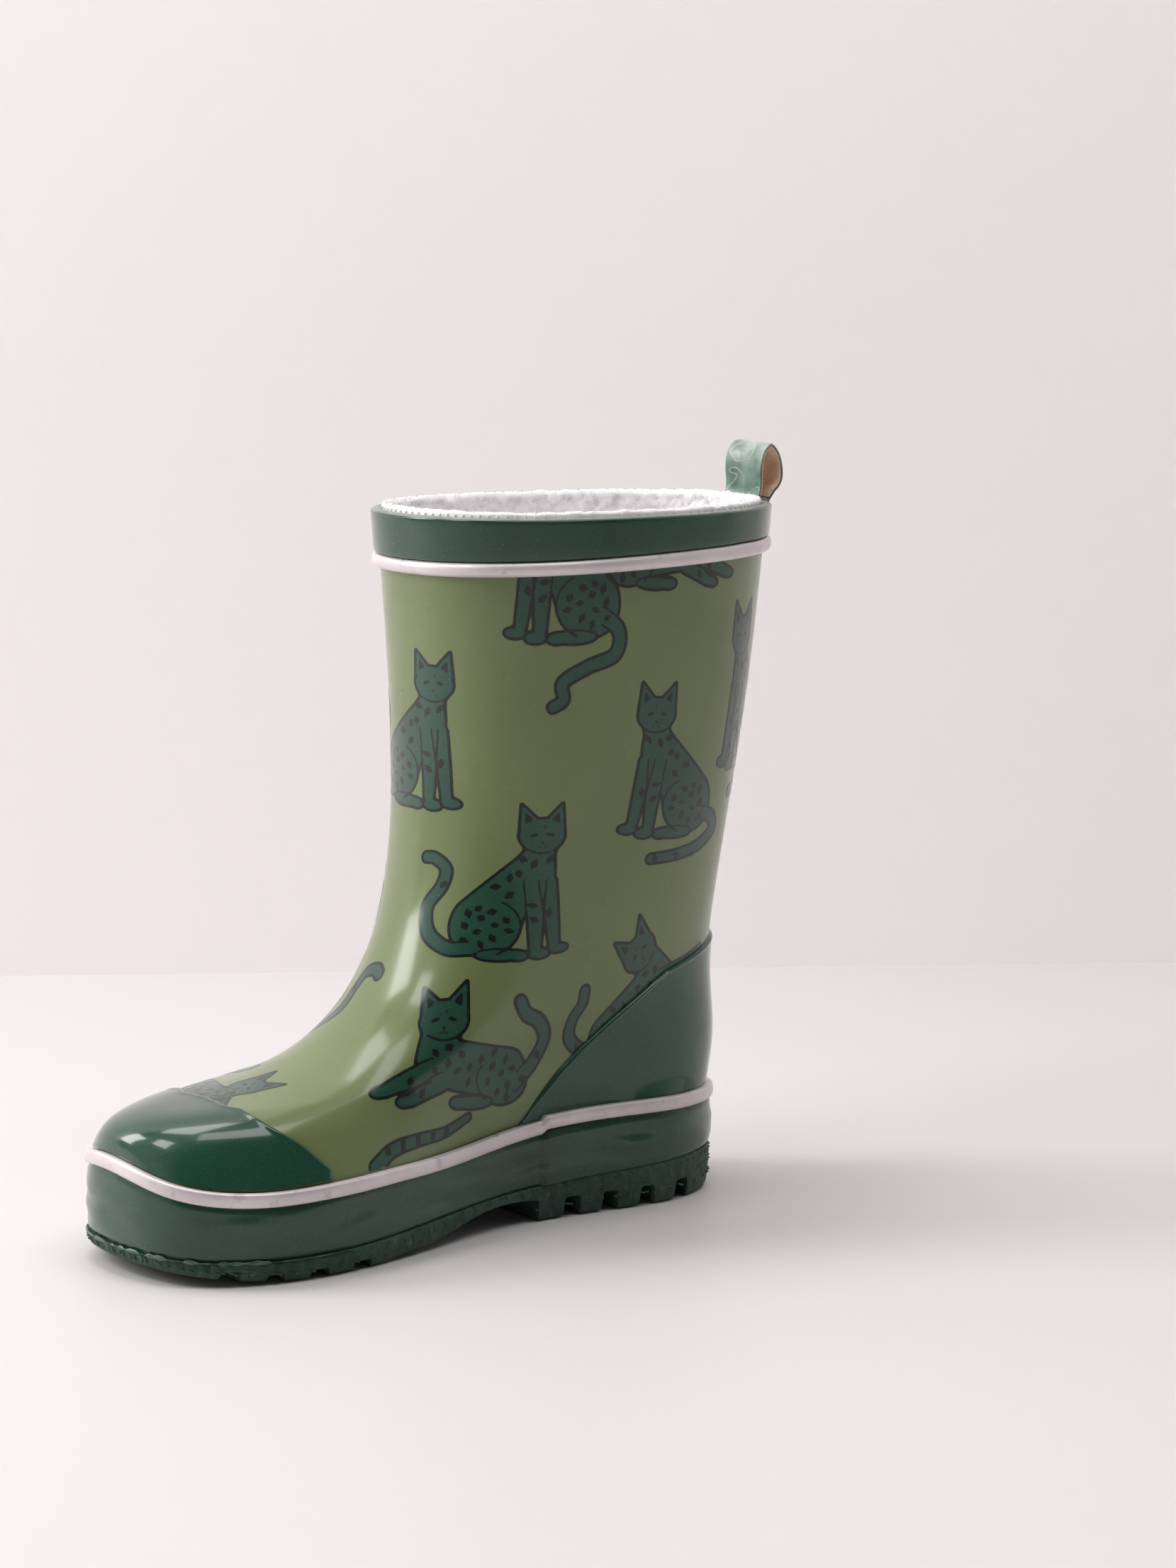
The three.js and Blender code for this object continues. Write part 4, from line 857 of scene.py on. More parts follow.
def outsole():
    n = 200
    th = np.arange(n) * 2 * np.pi / n
    zb = ZB(th)
    rings = []
    for inset, f in [(2.6, 0.0), (1.5, 0.02), (0.9, 0.12), (0.55, 0.3), (0.35, 0.55), (0.2, 0.8), (0.25, 0.93), (0.6, 1.0)]:
        p = outline(th, inset, 0.0)
        s = sole_z(p[:, 1])
        p[:, 2] = s + (zb - 0.05 - s) * f
        rings.append(p)
    rings.append(outline(th, 2.0, zb + 0.0))
    ob = barrel("outsole_rubber", np.array(rings), SOLE, smooth_angle=0)
    cut = []
    for a, b in FORE_GROOVES:
        d = 2.4 + (1.6 if a < -80 else 0)
        cut.append([(a - 0.5, -3), (b + 0.5, -3), (b - 0.3, d - 0.3), (b - 0.8, d), (a + 0.8, d), (a + 0.3, d - 0.3)])
    for a, b in HEEL_GROOVES:
        d = 5.6
        cut.append([(a - 0.5, -3), (b + 0.5, -3), (b - 0.3, d - 0.4), (b - 0.9, d), (a + 0.9, d), (a + 0.3, d - 0.4)])
    cutters = [prism_x("cut_grooves", cut, -60, 60), prism_x("cut_arch", [ARCH], -60, 60)]
    cutters.append(prism_x("cut_fore_channel", [[(-83, -3), (-44, -3), (-44, 2.3), (-83, 2.3)]], -2.5, 2.5))
    cutters.append(prism_x("cut_heel_channel", [[(22, -3), (68, -3), (68, 5.5), (22, 5.5)]], -2.5, 2.5))
    for c in cutters:
        m = ob.modifiers.new(c.name, "BOOLEAN")
        m.operation, m.solver, m.object = "DIFFERENCE", "EXACT", c
    bev = ob.modifiers.new("bevel", "BEVEL")
    bev.width, bev.segments, bev.limit_method, bev.angle_limit = 0.0004, 2, "ANGLE", 50 * RAD
    bpy.context.view_layer.update()
    me = bpy.data.meshes.new_from_object(ob.evaluated_get(bpy.context.evaluated_depsgraph_get()))
    ob.modifiers.clear()
    ob.data = me
    for c in cutters:
        bpy.data.objects.remove(c)
    me.polygons.foreach_set("use_smooth", [True] * len(me.polygons))
    me.set_sharp_from_angle(angle=38 * RAD)
    return ob


place(outsole(), "boot", "sole_rubber", "outsole")


def teardrops():
    """Small raised teardrops along the sole's rand."""
    rng = np.random.default_rng(31)
    verts, faces = [], []
    th = 0.0
    k = 0
    while th < 2 * np.pi:
        zb, p0 = float(ZB(th)), outline(th, 0.2, 0.0)
        low = float(sole_z(p0[1])) + 1.0
        if -41 < p0[1] < 17:
            low = float(np.interp(p0[1], [a[0] for a in ARCH], [a[1] for a in ARCH])) + 0.8
        for row in (0.30, 0.62, 0.9):
            if rng.uniform() < 0.25:
                continue
            t = th + rng.uniform(-0.006, 0.006) + (0.5 * 0.03 if k % 2 else 0)
            z = low + (zb - 0.4 - low) * row + rng.uniform(-0.25, 0.25)
            if z < low or zb - low < 1.0:
                continue
            speed = float(np.linalg.norm(outline(t + 0.01, 0.2, 0) - outline(t - 0.01, 0.2, 0))) / 0.02
            L, W, hgt = rng.uniform(0.9, 1.35), rng.uniform(0.28, 0.4), rng.uniform(0.22, 0.34)
            b = len(verts)
            tip = outline(t, 0.12 - hgt, z)
            ring = []
            for i in range(8):
                a = i / 8 * 2 * np.pi
                s = math.cos(a)
                dx = L * s * (1.0 if s > 0 else 0.55)
                dz = W * math.sin(a) * (1 - 0.35 * max(s, 0))
                ring.append(outline(t + dx / speed, 0.42, z + dz + 0.25 * dx))
            mid = [r * 0.55 + tip * 0.45 + (outline(t, -0.06, z) - outline(t, 0.06, z)) for r in ring]
            verts += ring + mid + [tip, outline(t, 0.6, z)]
            for i in range(8):
                j = (i + 1) % 8
                faces += [[b + i, b + j, b + 8 + j, b + 8 + i], [b + 8 + i, b + 8 + j, b + 16], [b + j, b + i, b + 17]]
        th += 0.030
        k += 1
    return add_mesh("rand_teardrops", np.array(verts), faces, SOLE, smooth_angle=80)


place(teardrops(), "boot", "sole_rubber")

# ------------------------------------------------------------------ lining
def lining():
    n = 480
    th = np.arange(n) * 2 * np.pi / n
    o, i = SHELL_T + 0.25, SHELL_T + 0.6 + 2.4
    rings = [on_bed(th, WELT_INSET + 4.8, 3.6), on_bed(th, WELT_INSET + 3.0, 5.6)]
    for v in [0, 0.02, 0.05, 0.09, 0.14, 0.2, 0.27, 0.35, 0.45, 0.56, 0.68, 0.8, 0.9, 0.96, 0.985]:
        rings.append(upper(th, v, -o))
    top = [(-o, 0.9), (-o - 0.1, 1.15), (-o - 0.5, 1.5), (-o - 1.1, 1.6), (-o - 1.7, 1.45), (-o - 2.2, 1.0), (-i, 0.3)]
    base = surf(th, 1.0)
    for k, (off, dz) in enumerate(top):
        p = upper(th, 1.0, off)
        amp = 0.30 * wave_noise(base + k * 0.6, (7, 7, 7), 41) + 0.22 * wave_noise(base + k * 0.5, (2.6, 2.6, 2.6), 42)
        p[:, 2] += dz * (1 + 0.35 * amp) - 0.9 * smooth(np.abs(th - 0) * 0) 
        rings.append(p)
    vin = np.concatenate([np.linspace(0.997, 0.86, 44), np.linspace(0.84, 0.0, 46)])
    for v in vin:
        p = surf(th, v)
        rings.append(upper(th, v, -i + 0.30 * wave_noise(p, (6, 6, 6), 43) + 0.22 * wave_noise(p, (2.4, 2.4, 2.4), 44)))
    rings += [on_bed(th, WELT_INSET + 0.8 + i, 6.9), on_bed(th, WELT_INSET + 3.0 + i, 5.05)]
    return barrel("lining_fleece", np.array(rings), FLUFF, smooth_angle=0)


place(lining(), "boot", "lining_textile", "lining")


def fibres(count=6500):
    """Loose pile fibres along the lining's rim and upper wall."""
    rng = np.random.default_rng(51)
    th = rng.uniform(0, 2 * np.pi, count)
    v = 1.004 - np.abs(rng.normal(0, 0.016, count))
    v = np.clip(v, 0.93, 1.004)
    on_top = rng.uniform(size=count) < 0.45
    off = np.where(on_top, rng.uniform(-4.2, -1.8, count), -4.2)
    root = upper(th, np.minimum(v, 1.0), off)
    root[:, 2] += np.where(on_top, 1.2, 0)
    nrm = -normal(th, np.minimum(v, 1.0))
    up = np.array([0, 0, 1.0])
    d = nrm * rng.uniform(0.2, 1.0, count)[:, None] + up * rng.uniform(0.2, 1.0, count)[:, None] + rng.normal(0, 0.5, (count, 3))
    d[on_top] = up * 0.9 + rng.normal(0, 0.6, (on_top.sum(), 3))
    d /= np.linalg.norm(d, axis=1, keepdims=True)
    L = rng.uniform(0.5, 1.25, count)[:, None]
    bend = rng.normal(0, 0.35, (count, 3))
    side = np.cross(d, rng.normal(size=(count, 3)))
    side /= np.linalg.norm(side, axis=1, keepdims=True)
    other = np.cross(d, side)
    w = 0.055
    verts, faces = [], []
    rad = [w, w * 0.8, 0.012]
    P = [root - d * 0.2, root + d * L * 0.55 + bend * 0.18, root + d * L + bend * 0.6]
    allv = []
    for c, r in zip(P, rad):
        for a in (0, 2.094, 4.189):
            allv.append(c + side * r * math.cos(a) + other * r * math.sin(a))
    allv = np.stack(allv, 1).reshape(-1, 3)
    for k in range(count):
        b = 9 * k
        faces.append([b + 2, b + 1, b])
        for s in (0, 3):
            for i in range(3):
                j = (i + 1) % 3
                faces.append([b + s + i, b + s + j, b + s + 3 + j, b + s + 3 + i])
        faces.append([b + 6, b + 7, b + 8])
    return add_mesh("lining_fibres", allv, faces, FLUFF, smooth_angle=0)


place(fibres(), "boot", "lining_textile")


def capsule(p0, p1, r, n=6):
    """Verts and faces of a short rounded thread stitch."""
    d = (p1 - p0) / np.linalg.norm(p1 - p0)
    s = np.cross(d, [0.3, 0.2, 0.9])
    s /= np.linalg.norm(s)
    o = np.cross(d, s)
    verts, faces = [p0 - d * r * 0.6], []
    for t, q in [(0, 0.7), (0.12, 1.0), (0.5, 1.1), (0.88, 1.0), (1, 0.7)]:
        c = p0 + (p1 - p0) * t
        verts += [c + (s * math.cos(a) + o * math.sin(a)) * r * q for a in np.arange(n) * 2 * math.pi / n]
    verts.append(p1 + d * r * 0.6)
    for i in range(n):
        j = (i + 1) % n
        faces.append([0, 1 + j, 1 + i])
        for k in range(4):
            b = 1 + k * n
            faces.append([b + i, b + j, b + n + j, b + n + i])
        faces.append([1 + 4 * n + i, 1 + 4 * n + j, 1 + 5 * n])
    return verts, faces


def stitches():
    """Overlock stitches that bind the lining's edge to the rubber round the rim."""
    verts, faces = [], []
    n = 118
    for k in range(n):
        t = 2 * math.pi * k / n
        a = upper(t + 0.004, 1.0, -SHELL_T + 0.15)
        b = upper(t - 0.006, 1.0, -SHELL_T - 1.5)
        a[2] += 0.25
        b[2] += 1.75
        v, f = capsule(np.array(a), np.array(b), 0.17)
        base = len(verts)
        verts += v
        faces += [[i + base for i in q] for q in f]
    return add_mesh("rim_stitches", np.array(verts), faces, THREAD, smooth_angle=80)


place(stitches(), "boot", "lining_textile")

# ------------------------------------------------------------------ insole
def insole():
    n = 160
    th = np.arange(n) * 2 * np.pi / n
    z0 = 1.4 + 1.4 + 1.5 + 1.2
    prof = [(10.2, z0), (9.3, z0 + 0.2), (8.8, z0 + 1.0), (8.7, z0 + 2.4), (9.0, z0 + 3.2), (9.6, z0 + 3.55), (10.6, z0 + 3.6), (13, z0 + 3.45), (16.5, z0 + 3.35)]
    return barrel("insole_pad", np.array([on_bed(th, i, z) for i, z in prof]), INSOLE, smooth_angle=50)


pad = place(insole(), "insole_body", "insole_foam", "insole")

for node, mat in (("insole_board", BOARD), ("toe_puff", BOARD), ("heel_stiffener", BOARD), ("forefoot_filler", FOAM), ("heel_filler", FOAM)):
    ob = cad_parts[node]
    ob.data.materials.clear()
    ob.data.materials.append(mat)

# ------------------------------------------------------------------ pull loop
LOOP_X, LOOP_Y, LOOP_Z = 2.0, 103.6, 190.3
LOOP = [[-2.1, 1.8], [-2.4, 5], [-2.4, 8.8], [-1.5, 13.2], [1.3, 15.9], [4.3, 13.2], [5.6, 9.6], [5.8, 6.2], [5.2, 3.4], [3.9, 1.8]]


def catmull(points, n):
    p = np.asarray(points, float)
    p = np.vstack([2 * p[0] - p[1], p, 2 * p[-1] - p[-2]])
    out = []
    for i in range(1, len(p) - 2):
        for t in np.linspace(0, 1, n, endpoint=False):
            a, b, c, d = p[i - 1 : i + 3]
            out.append(0.5 * (2 * b + (c - a) * t + (2 * a - 5 * b + 4 * c - d) * t * t + (3 * b - a - 3 * c + d) * t**3))
    out.append(p[-2])
    return np.array(out)


def resample(path, step):
    d = np.concatenate([[0], np.cumsum(np.linalg.norm(np.diff(path, axis=0), axis=1))])
    s = np.linspace(0, d[-1], int(d[-1] / step) + 1)
    return np.stack([np.interp(s, d, path[:, k]) for k in range(path.shape[1])], 1)


def strap_path():
    root = [upper(0.0, v, -2.45)[1:] for v in (0.915, 0.95, 0.985)]
    rear = [upper(0.0, v, 2.65)[1:] for v in (0.992, 0.975, 0.955, 0.944)]
    pts = [list(q) for q in root] + [[LOOP_Y + y, LOOP_Z + z] for y, z in LOOP] + [list(q) for q in rear]
    return resample(catmull(pts, 14), 0.42)


def ribbon(name, path, half, t_in, t_out, mat, wob=0.0, m=23):
    """Closed strip along a path in (y, z); t_out and t_in are distances inward from the path's outer face."""
    tan = np.gradient(path, axis=0)
    tan /= np.linalg.norm(tan, axis=1, keepdims=True)
    nrm = np.stack([-tan[:, 1], tan[:, 0]], 1)
    s = np.sin(np.linspace(-math.pi / 2, math.pi / 2, m))
    n = len(path)
    X = LOOP_X + s[None, :] * half[:, None]
    k = 1 - 0.85 * smooth((path[:, 1] - 189.5) / 7.0)
    edge = (1 - np.abs(s) ** 10) ** 0.5
    mid = (t_in + t_out) / 2
    faces_pts = []
    for sign, t in ((1, t_out), (-1, t_in)):
        tt = mid[:, None] + (t - mid)[:, None] * (0.35 + 0.65 * edge)[None, :]
        Y = path[:, 0][:, None] - nrm[:, 0][:, None] * tt
        Z = path[:, 1][:, None] - nrm[:, 1][:, None] * tt
        Y = Y - k[:, None] * X**2 / 54
        P = np.stack([X, Y, Z], -1)
        if wob:
            bend = wob * wave_noise(P * [1, 0.6, 1], (11, 13, 13), 61) * smooth((path[:, 1] - 191) / 4)[:, None]
            P[..., 1] += bend * nrm[:, 0][:, None]
            P[..., 2] += bend * nrm[:, 1][:, None]
        faces_pts.append(P)
    rings = np.concatenate([faces_pts[0], faces_pts[1][:, ::-1]], 1)
    nn = rings.shape[1]
    faces = grid_faces(n, nn, False, True)
    for base in (0, (n - 1) * nn):
        for i in range(m - 1):
            q = [base + i, base + i + 1, base + nn - 2 - i, base + nn - 1 - i]
            faces.append(q[::-1] if base == 0 else q)
    return add_mesh(name, rings.reshape(-1, 3), faces, mat, smooth_angle=55)


def pull_loop():
    path = strap_path()
    n = len(path)
    s = np.arange(n) * 0.42
    left = s[-1] - s
    half = 8.0 * (1 - 0.34 * smooth(1 - left / 6.0))
    thick = 0.7 - 0.35 * smooth(1 - left / 4.0)
    zero = np.zeros(n)
    strap = ribbon("pull_loop_rubber", path, half, thick, zero, STRAP, wob=0.22)
    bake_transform(strap)
    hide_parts("pull_loop_strap", "pull_loop_anchor", "pull_loop_tail")
    first = int(np.argmax(path[:, 1] > 190.6))
    last = n - 1 - int(np.argmax(path[::-1, 1] > 190.4))
    q = path[first : last + 1]
    z = np.zeros(len(q))
    back = ribbon("pull_loop_canvas", q, z + 7.85, z + 1.15, z + 0.66, CANVAS, wob=0.22)
    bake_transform(back)
    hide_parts("pull_loop_backing")


pull_loop()

# ------------------------------------------------------------------ print
NTH, NTV = 192, 104
_T, _V = np.meshgrid(np.linspace(0, 2 * np.pi, NTH + 1), np.linspace(-0.02, 1.02, NTV + 1), indexing="ij")
TAN = np.concatenate([(surf(_T + 1e-3, _V) - surf(_T - 1e-3, _V)) / 2e-3, (surf(_T, _V + 1e-3) - surf(_T, _V - 1e-3)) / 2e-3], -1)


def tangents(th, v):
    t = (th % (2 * np.pi)) / (2 * np.pi) * NTH
    u = (np.clip(v, -0.02, 1.02) + 0.02) / 1.04 * NTV
    i, j = np.minimum(t.astype(int), NTH - 1), np.minimum(u.astype(int), NTV - 1)
    a, b = (t - i)[:, None], (u - j)[:, None]
    m = (TAN[i, j] * (1 - a) + TAN[i + 1, j] * a) * (1 - b) + (TAN[i, j + 1] * (1 - a) + TAN[i + 1, j + 1] * a) * b
    return m[:, :3], m[:, 3:]


def to_surface(th0, v0, pts, turn=0.0):
    """Lays a flat drawing (mm, x to the right and y up as seen from outside) on the upper, walking up and then across."""
    steps = 14
    th, v = np.full(len(pts), float(th0)), np.full(len(pts), float(v0))
    n0 = normal(th0, v0)
    right = np.cross([0, 0, 1.0], n0)
    right /= np.linalg.norm(right)
    up0 = np.cross(n0, right)
    right = right * math.cos(turn) + up0 * math.sin(turn)
    for k in (1, 0):
        for _ in range(steps):
            pt, pv = tangents(th, v)
            n = np.cross(pv, pt)
            n /= np.linalg.norm(n, axis=1, keepdims=True)
            e1 = right - (n @ right)[:, None] * n
            e1 /= np.linalg.norm(e1, axis=1, keepdims=True)
            d = (np.cross(n, e1) if k else e1) * (pts[:, k] / steps)[:, None]
            a, b, c = (pt * pt).sum(1), (pt * pv).sum(1), (pv * pv).sum(1)
            p, q = (pt * d).sum(1), (pv * d).sum(1)
            det = a * c - b * b
            th = th + (c * p - b * q) / det
            v = v + (a * q - b * p) / det
    return th, v


def marching(F, x0, y0, step):
    """Polygons where F < 0 on a grid F[ix, iy]."""
    nx, ny = F.shape
    verts, index, polys = [], {}, []

    def corner(i, j):
        k = (i, j)
        if k not in index:
            index[k] = len(verts)
            verts.append((x0 + i * step, y0 + j * step))
        return index[k]

    def cross(a, b):
        k = (a, b) if a < b else (b, a)
        if k not in index:
            a, b = k
            fa, fb = F[a], F[b]
            t = min(max(fa / (fa - fb), 0.06), 0.94)
            index[k] = len(verts)
            verts.append((x0 + (a[0] + (b[0] - a[0]) * t) * step, y0 + (a[1] + (b[1] - a[1]) * t) * step))
        return index[k]

    inside = F < 0
    any_in = inside[:-1, :-1] | inside[1:, :-1] | inside[1:, 1:] | inside[:-1, 1:]
    for i, j in zip(*np.nonzero(any_in)):
        i, j = int(i), int(j)
        cs = [(i, j), (i + 1, j), (i + 1, j + 1), (i, j + 1)]
        ins = [bool(inside[c]) for c in cs]
        if ins in ([True, False, True, False], [False, True, False, True]):
            for q in range(4):
                if ins[q]:
                    polys.append([cross(cs[q - 1], cs[q]), corner(*cs[q]), cross(cs[q], cs[(q + 1) % 4])])
            continue
        poly = []
        for q in range(4):
            r = (q + 1) % 4
            if ins[q]:
                poly.append(corner(*cs[q]))
            if ins[q] != ins[r]:
                poly.append(cross(cs[q], cs[r]))
        polys.append(poly)
    return np.array(verts), polys


class Ink:
    """Signed distances on a drawing grid, in mm."""

    def __init__(self, half_w, half_h, step):
        self.step = step
        x = np.arange(-half_w, half_w + step, step)
        y = np.arange(-half_h, half_h + step, step)
        self.x0, self.y0 = x[0], y[0]
        self.X, self.Y = np.meshgrid(x, y, indexing="ij")

    def ellipse(self, cx, cy, rx, ry, rot=0):
        c, s = math.cos(rot * RAD), math.sin(rot * RAD)
        x, y = self.X - cx, self.Y - cy
        u, w = (x * c + y * s) / rx, (-x * s + y * c) / ry
        k = np.sqrt(u * u + w * w) + 1e-9
        g = np.sqrt((u / rx) ** 2 + (w / ry) ** 2) + 1e-9
        return k * (k - 1) / g

    def cone(self, a, b, ra, rb):
        ax, ay = a
        dx, dy = b[0] - ax, b[1] - ay
        t = np.clip(((self.X - ax) * dx + (self.Y - ay) * dy) / (dx * dx + dy * dy), 0, 1)
        return np.hypot(self.X - ax - dx * t, self.Y - ay - dy * t) - (ra + (rb - ra) * t)

    def line(self, pts, r0, r1=None):
        r1 = r0 if r1 is None else r1
        q = catmull(pts, 8)
        rr = np.linspace(r0, r1, len(q))
        return np.min([self.cone(q[i], q[i + 1], rr[i], rr[i + 1]) for i in range(len(q) - 1)], axis=0)

    def poly(self, pts):
        d = np.full(self.X.shape, 1e9)
        s = np.ones(self.X.shape)
        n = len(pts)
        for i in range(n):
            (ax, ay), (bx, by) = pts[i], pts[i - 1]
            ex, ey = bx - ax, by - ay
            wx, wy = self.X - ax, self.Y - ay
            t = np.clip((wx * ex + wy * ey) / (ex * ex + ey * ey), 0, 1)
            d = np.minimum(d, (wx - ex * t) ** 2 + (wy - ey * t) ** 2)
            c1, c2, c3 = self.Y >= ay, self.Y < by, ex * wy > ey * wx
            flip = (c1 & c2 & c3) | (~c1 & ~c2 & ~c3)
            s = np.where(flip, -s, s)
        return s * np.sqrt(d)


def blend_min(*d, k=1.2):
    out = d[0]
    for x in d[1:]:
        h = np.clip(0.5 + 0.5 * (x - out) / k, 0, 1)
        out = x * (1 - h) + out * h - k * h * (1 - h)
    return out


def spots(g, field, seed, pitch, skip):
    rng = np.random.default_rng(seed)
    d = np.full(g.X.shape, 9.0)
    x = g.x0
    row = 0
    while x < -g.x0:
        y = g.y0 + (row % 2) * pitch / 2
        while y < -g.y0:
            px, py = x + rng.uniform(-0.7, 0.7), y + rng.uniform(-0.7, 0.7)
            i, j = int(round((px - g.x0) / g.step)), int(round((py - g.y0) / g.step))
            r, s, a = rng.uniform(1.15, 1.7), rng.uniform(0.8, 1.1), rng.uniform(0, 180)
            if 0 <= i < g.X.shape[0] and 0 <= j < g.X.shape[1] and field[i, j] < -1.5 and skip[i, j] > 0.3:
                c, q = math.cos(a * RAD), math.sin(a * RAD)
                u, w = (g.X - px) * c + (g.Y - py) * q, -(g.X - px) * q + (g.Y - py) * c
                d = np.minimum(d, (np.abs(u) / r + np.abs(w) / s - 1) * min(r, s) * 0.9 - 0.12)
            y += pitch
        x += pitch * 0.87
        row += 1
    return d


def face(g, cx, cy, tilt=0):
    d = np.minimum(g.ellipse(cx - 2.1, cy + 0.7, 1.15, 0.5, 18 + tilt), g.ellipse(cx + 2.1, cy + 0.7, 1.15, 0.5, -18 + tilt))
    d = np.minimum(d, g.poly([(cx - 0.75, cy - 1.2), (cx + 0.75, cy - 1.2), (cx, cy - 2.0)]))
    d = np.minimum(d, g.line([(cx, cy - 1.9), (cx, cy - 2.7), (cx - 1.2, cy - 3.2)], 0.16))
    d = np.minimum(d, g.line([(cx, cy - 1.9), (cx, cy - 2.7), (cx + 1.2, cy - 3.2)], 0.16))
    for s in (-1, 1):
        d = np.minimum(d, g.line([(cx + s * 0.7, cy + 3.4), (cx + s * 0.6, cy + 2.4), (cx + s * 0.9, cy + 2.0)], 0.17))
    return d


def sitting_cat(tail_pts):
    """A plain spotted cat sitting, drawn from simple shapes."""
    g = Ink(27, 41, 0.5)
    haunch = g.ellipse(-4.8, -11.5, 9.2, 8.4, 20)
    back = g.cone((-5, -9.5), (7.2, 5.5), 8.4, 5.6)
    chest = g.cone((8.2, 4), (9.4, 12), 4.9, 4.0)
    head = blend_min(g.ellipse(9.8, 16.2, 6.1, 5.2), g.ellipse(9.8, 13.6, 3.6, 2.6), k=1.0)
    ears = np.minimum(g.poly([(4.1, 17.6), (4.6, 25.6), (9.0, 20.6)]), g.poly([(10.8, 20.6), (15.2, 25.6), (15.6, 17.4)])) - 0.25
    leg1 = blend_min(g.cone((8.0, 2), (8.4, -17.5), 2.9, 1.8), g.ellipse(9.6, -19.6, 3.1, 1.7), k=0.8)
    leg2 = blend_min(g.cone((11.4, 2), (13.6, -16.6), 2.5, 1.7), g.ellipse(15.0, -18.4, 3.0, 1.6), k=0.8)
    foot = blend_min(g.ellipse(-1.0, -19.6, 6.4, 1.9), g.ellipse(4.2, -19.9, 2.4, 1.6), k=0.8)
    tail = g.line(tail_pts, 2.1, 1.6)
    bodym = blend_min(haunch, back, chest, k=1.6)
    whole = blend_min(bodym, head, k=1.0)
    whole = np.minimum(np.minimum(whole, ears), np.minimum(np.minimum(leg1, leg2), np.minimum(foot, tail)))
    ink = np.abs(whole) - 0.40
    for part, lim in ((leg1, g.Y - 3), (leg2, g.Y - 3), (foot, g.X * 0 - 1), (haunch, np.maximum(-2 - g.X, g.Y + 3.5)), (head, g.Y - 12.2), (tail, g.X + 8.5)):
        ink = np.minimum(ink, np.maximum(np.maximum(np.abs(part) - 0.30, whole), lim))
    inner_ear = np.minimum(g.poly([(5.4, 19.6), (5.5, 23.3), (7.6, 20.8)]), g.poly([(12.2, 20.8), (14.4, 23.3), (14.4, 19.4)]))
    keep = np.minimum(np.minimum(np.abs(leg1), np.abs(leg2)), np.minimum(np.abs(foot), np.minimum(np.abs(haunch), 9))) - 1.0
    keep = np.minimum(keep, head - 0.4)
    sp = spots(g, whole, 3, 4.0, keep)
    ink = np.minimum(np.minimum(ink, sp), np.minimum(inner_ear, face(g, 9.8, 15.6)))
    return g, whole, ink


def lying_cat():
    """The same plain cat lying down with its tail up."""
    g = Ink(32, 21, 0.5)
    rear = g.ellipse(10.5, -6.2, 8.2, 6.6, -8)
    back = g.cone((-9, -3), (10, -4.5), 6.4, 6.8)
    chest = g.cone((-11.5, -4), (-10.5, 5), 5.4, 4.6)
    head = blend_min(g.ellipse(-9.6, 8.6, 6.2, 5.2), g.ellipse(-9.6, 5.9, 3.7, 2.6), k=1.0)
    ears = np.minimum(g.poly([(-15.2, 9.8), (-15.0, 18.0), (-10.4, 13.0)]), g.poly([(-8.8, 13.0), (-4.2, 18.0), (-3.8, 9.8)])) - 0.25
    arm1 = blend_min(g.cone((-12, -5), (-25, -10.6), 3.0, 1.7), g.ellipse(-27, -11.2, 2.8, 1.5, 10), k=0.8)
    arm2 = blend_min(g.cone((-9, -8), (-17.5, -12.6), 2.6, 1.6), g.ellipse(-19.6, -13.2, 2.8, 1.5, 10), k=0.8)
    foot = blend_min(g.ellipse(2.2, -12.4, 6.2, 1.8, 4), g.ellipse(-3.2, -12.8, 2.4, 1.5), k=0.8)
    tail = g.line([(15, -7), (19.4, -1.5), (20.6, 5), (17.2, 9.4), (12.6, 11.2), (10.2, 14)], 2.0, 1.7)
    whole = blend_min(blend_min(rear, back, chest, k=1.8), head, k=1.0)
    whole = np.minimum(np.minimum(whole, ears), np.minimum(np.minimum(arm1, arm2), np.minimum(foot, tail)))
    ink = np.abs(whole) - 0.40
    for part, lim in ((arm1, g.X + 11.5), (arm2, g.X + 8.5), (foot, g.X * 0 - 1), (rear, np.maximum(g.X - 6, g.Y + 2.5)), (head, g.Y - 4.9), (tail, -g.X + 14.5)):
        ink = np.minimum(ink, np.maximum(np.maximum(np.abs(part) - 0.30, whole), lim))
    inner_ear = np.minimum(g.poly([(-13.9, 12.0), (-13.9, 15.6), (-11.8, 13.2)]), g.poly([(-7.4, 13.2), (-5.2, 15.6), (-5.2, 11.8)]))
    keep = np.minimum(np.minimum(np.abs(arm1), np.abs(arm2)), np.minimum(np.abs(foot), np.abs(rear))) - 1.0
    keep = np.minimum(keep, head - 0.4)
    sp = spots(g, whole, 5, 4.0, keep)
    ink = np.minimum(np.minimum(ink, sp), np.minimum(inner_ear, face(g, -9.6, 8.0)))
    return g, whole, ink


def loose_tail():
    g = Ink(22, 9, 0.5)
    whole = g.line([(-17, -4.5), (-10, -0.5), (0, 1.2), (9, 2.2), (17, 5.5)], 2.1, 1.2)
    ink = np.abs(whole) - 0.40
    for x in (-12, -6.5, -1, 4.5, 9.5):
        ink = np.minimum(ink, np.maximum(np.maximum(np.abs(g.X - x) - 0.9, whole + 0.5), -0.4 - g.Y + 0.12 * g.X))
    return g, whole, ink


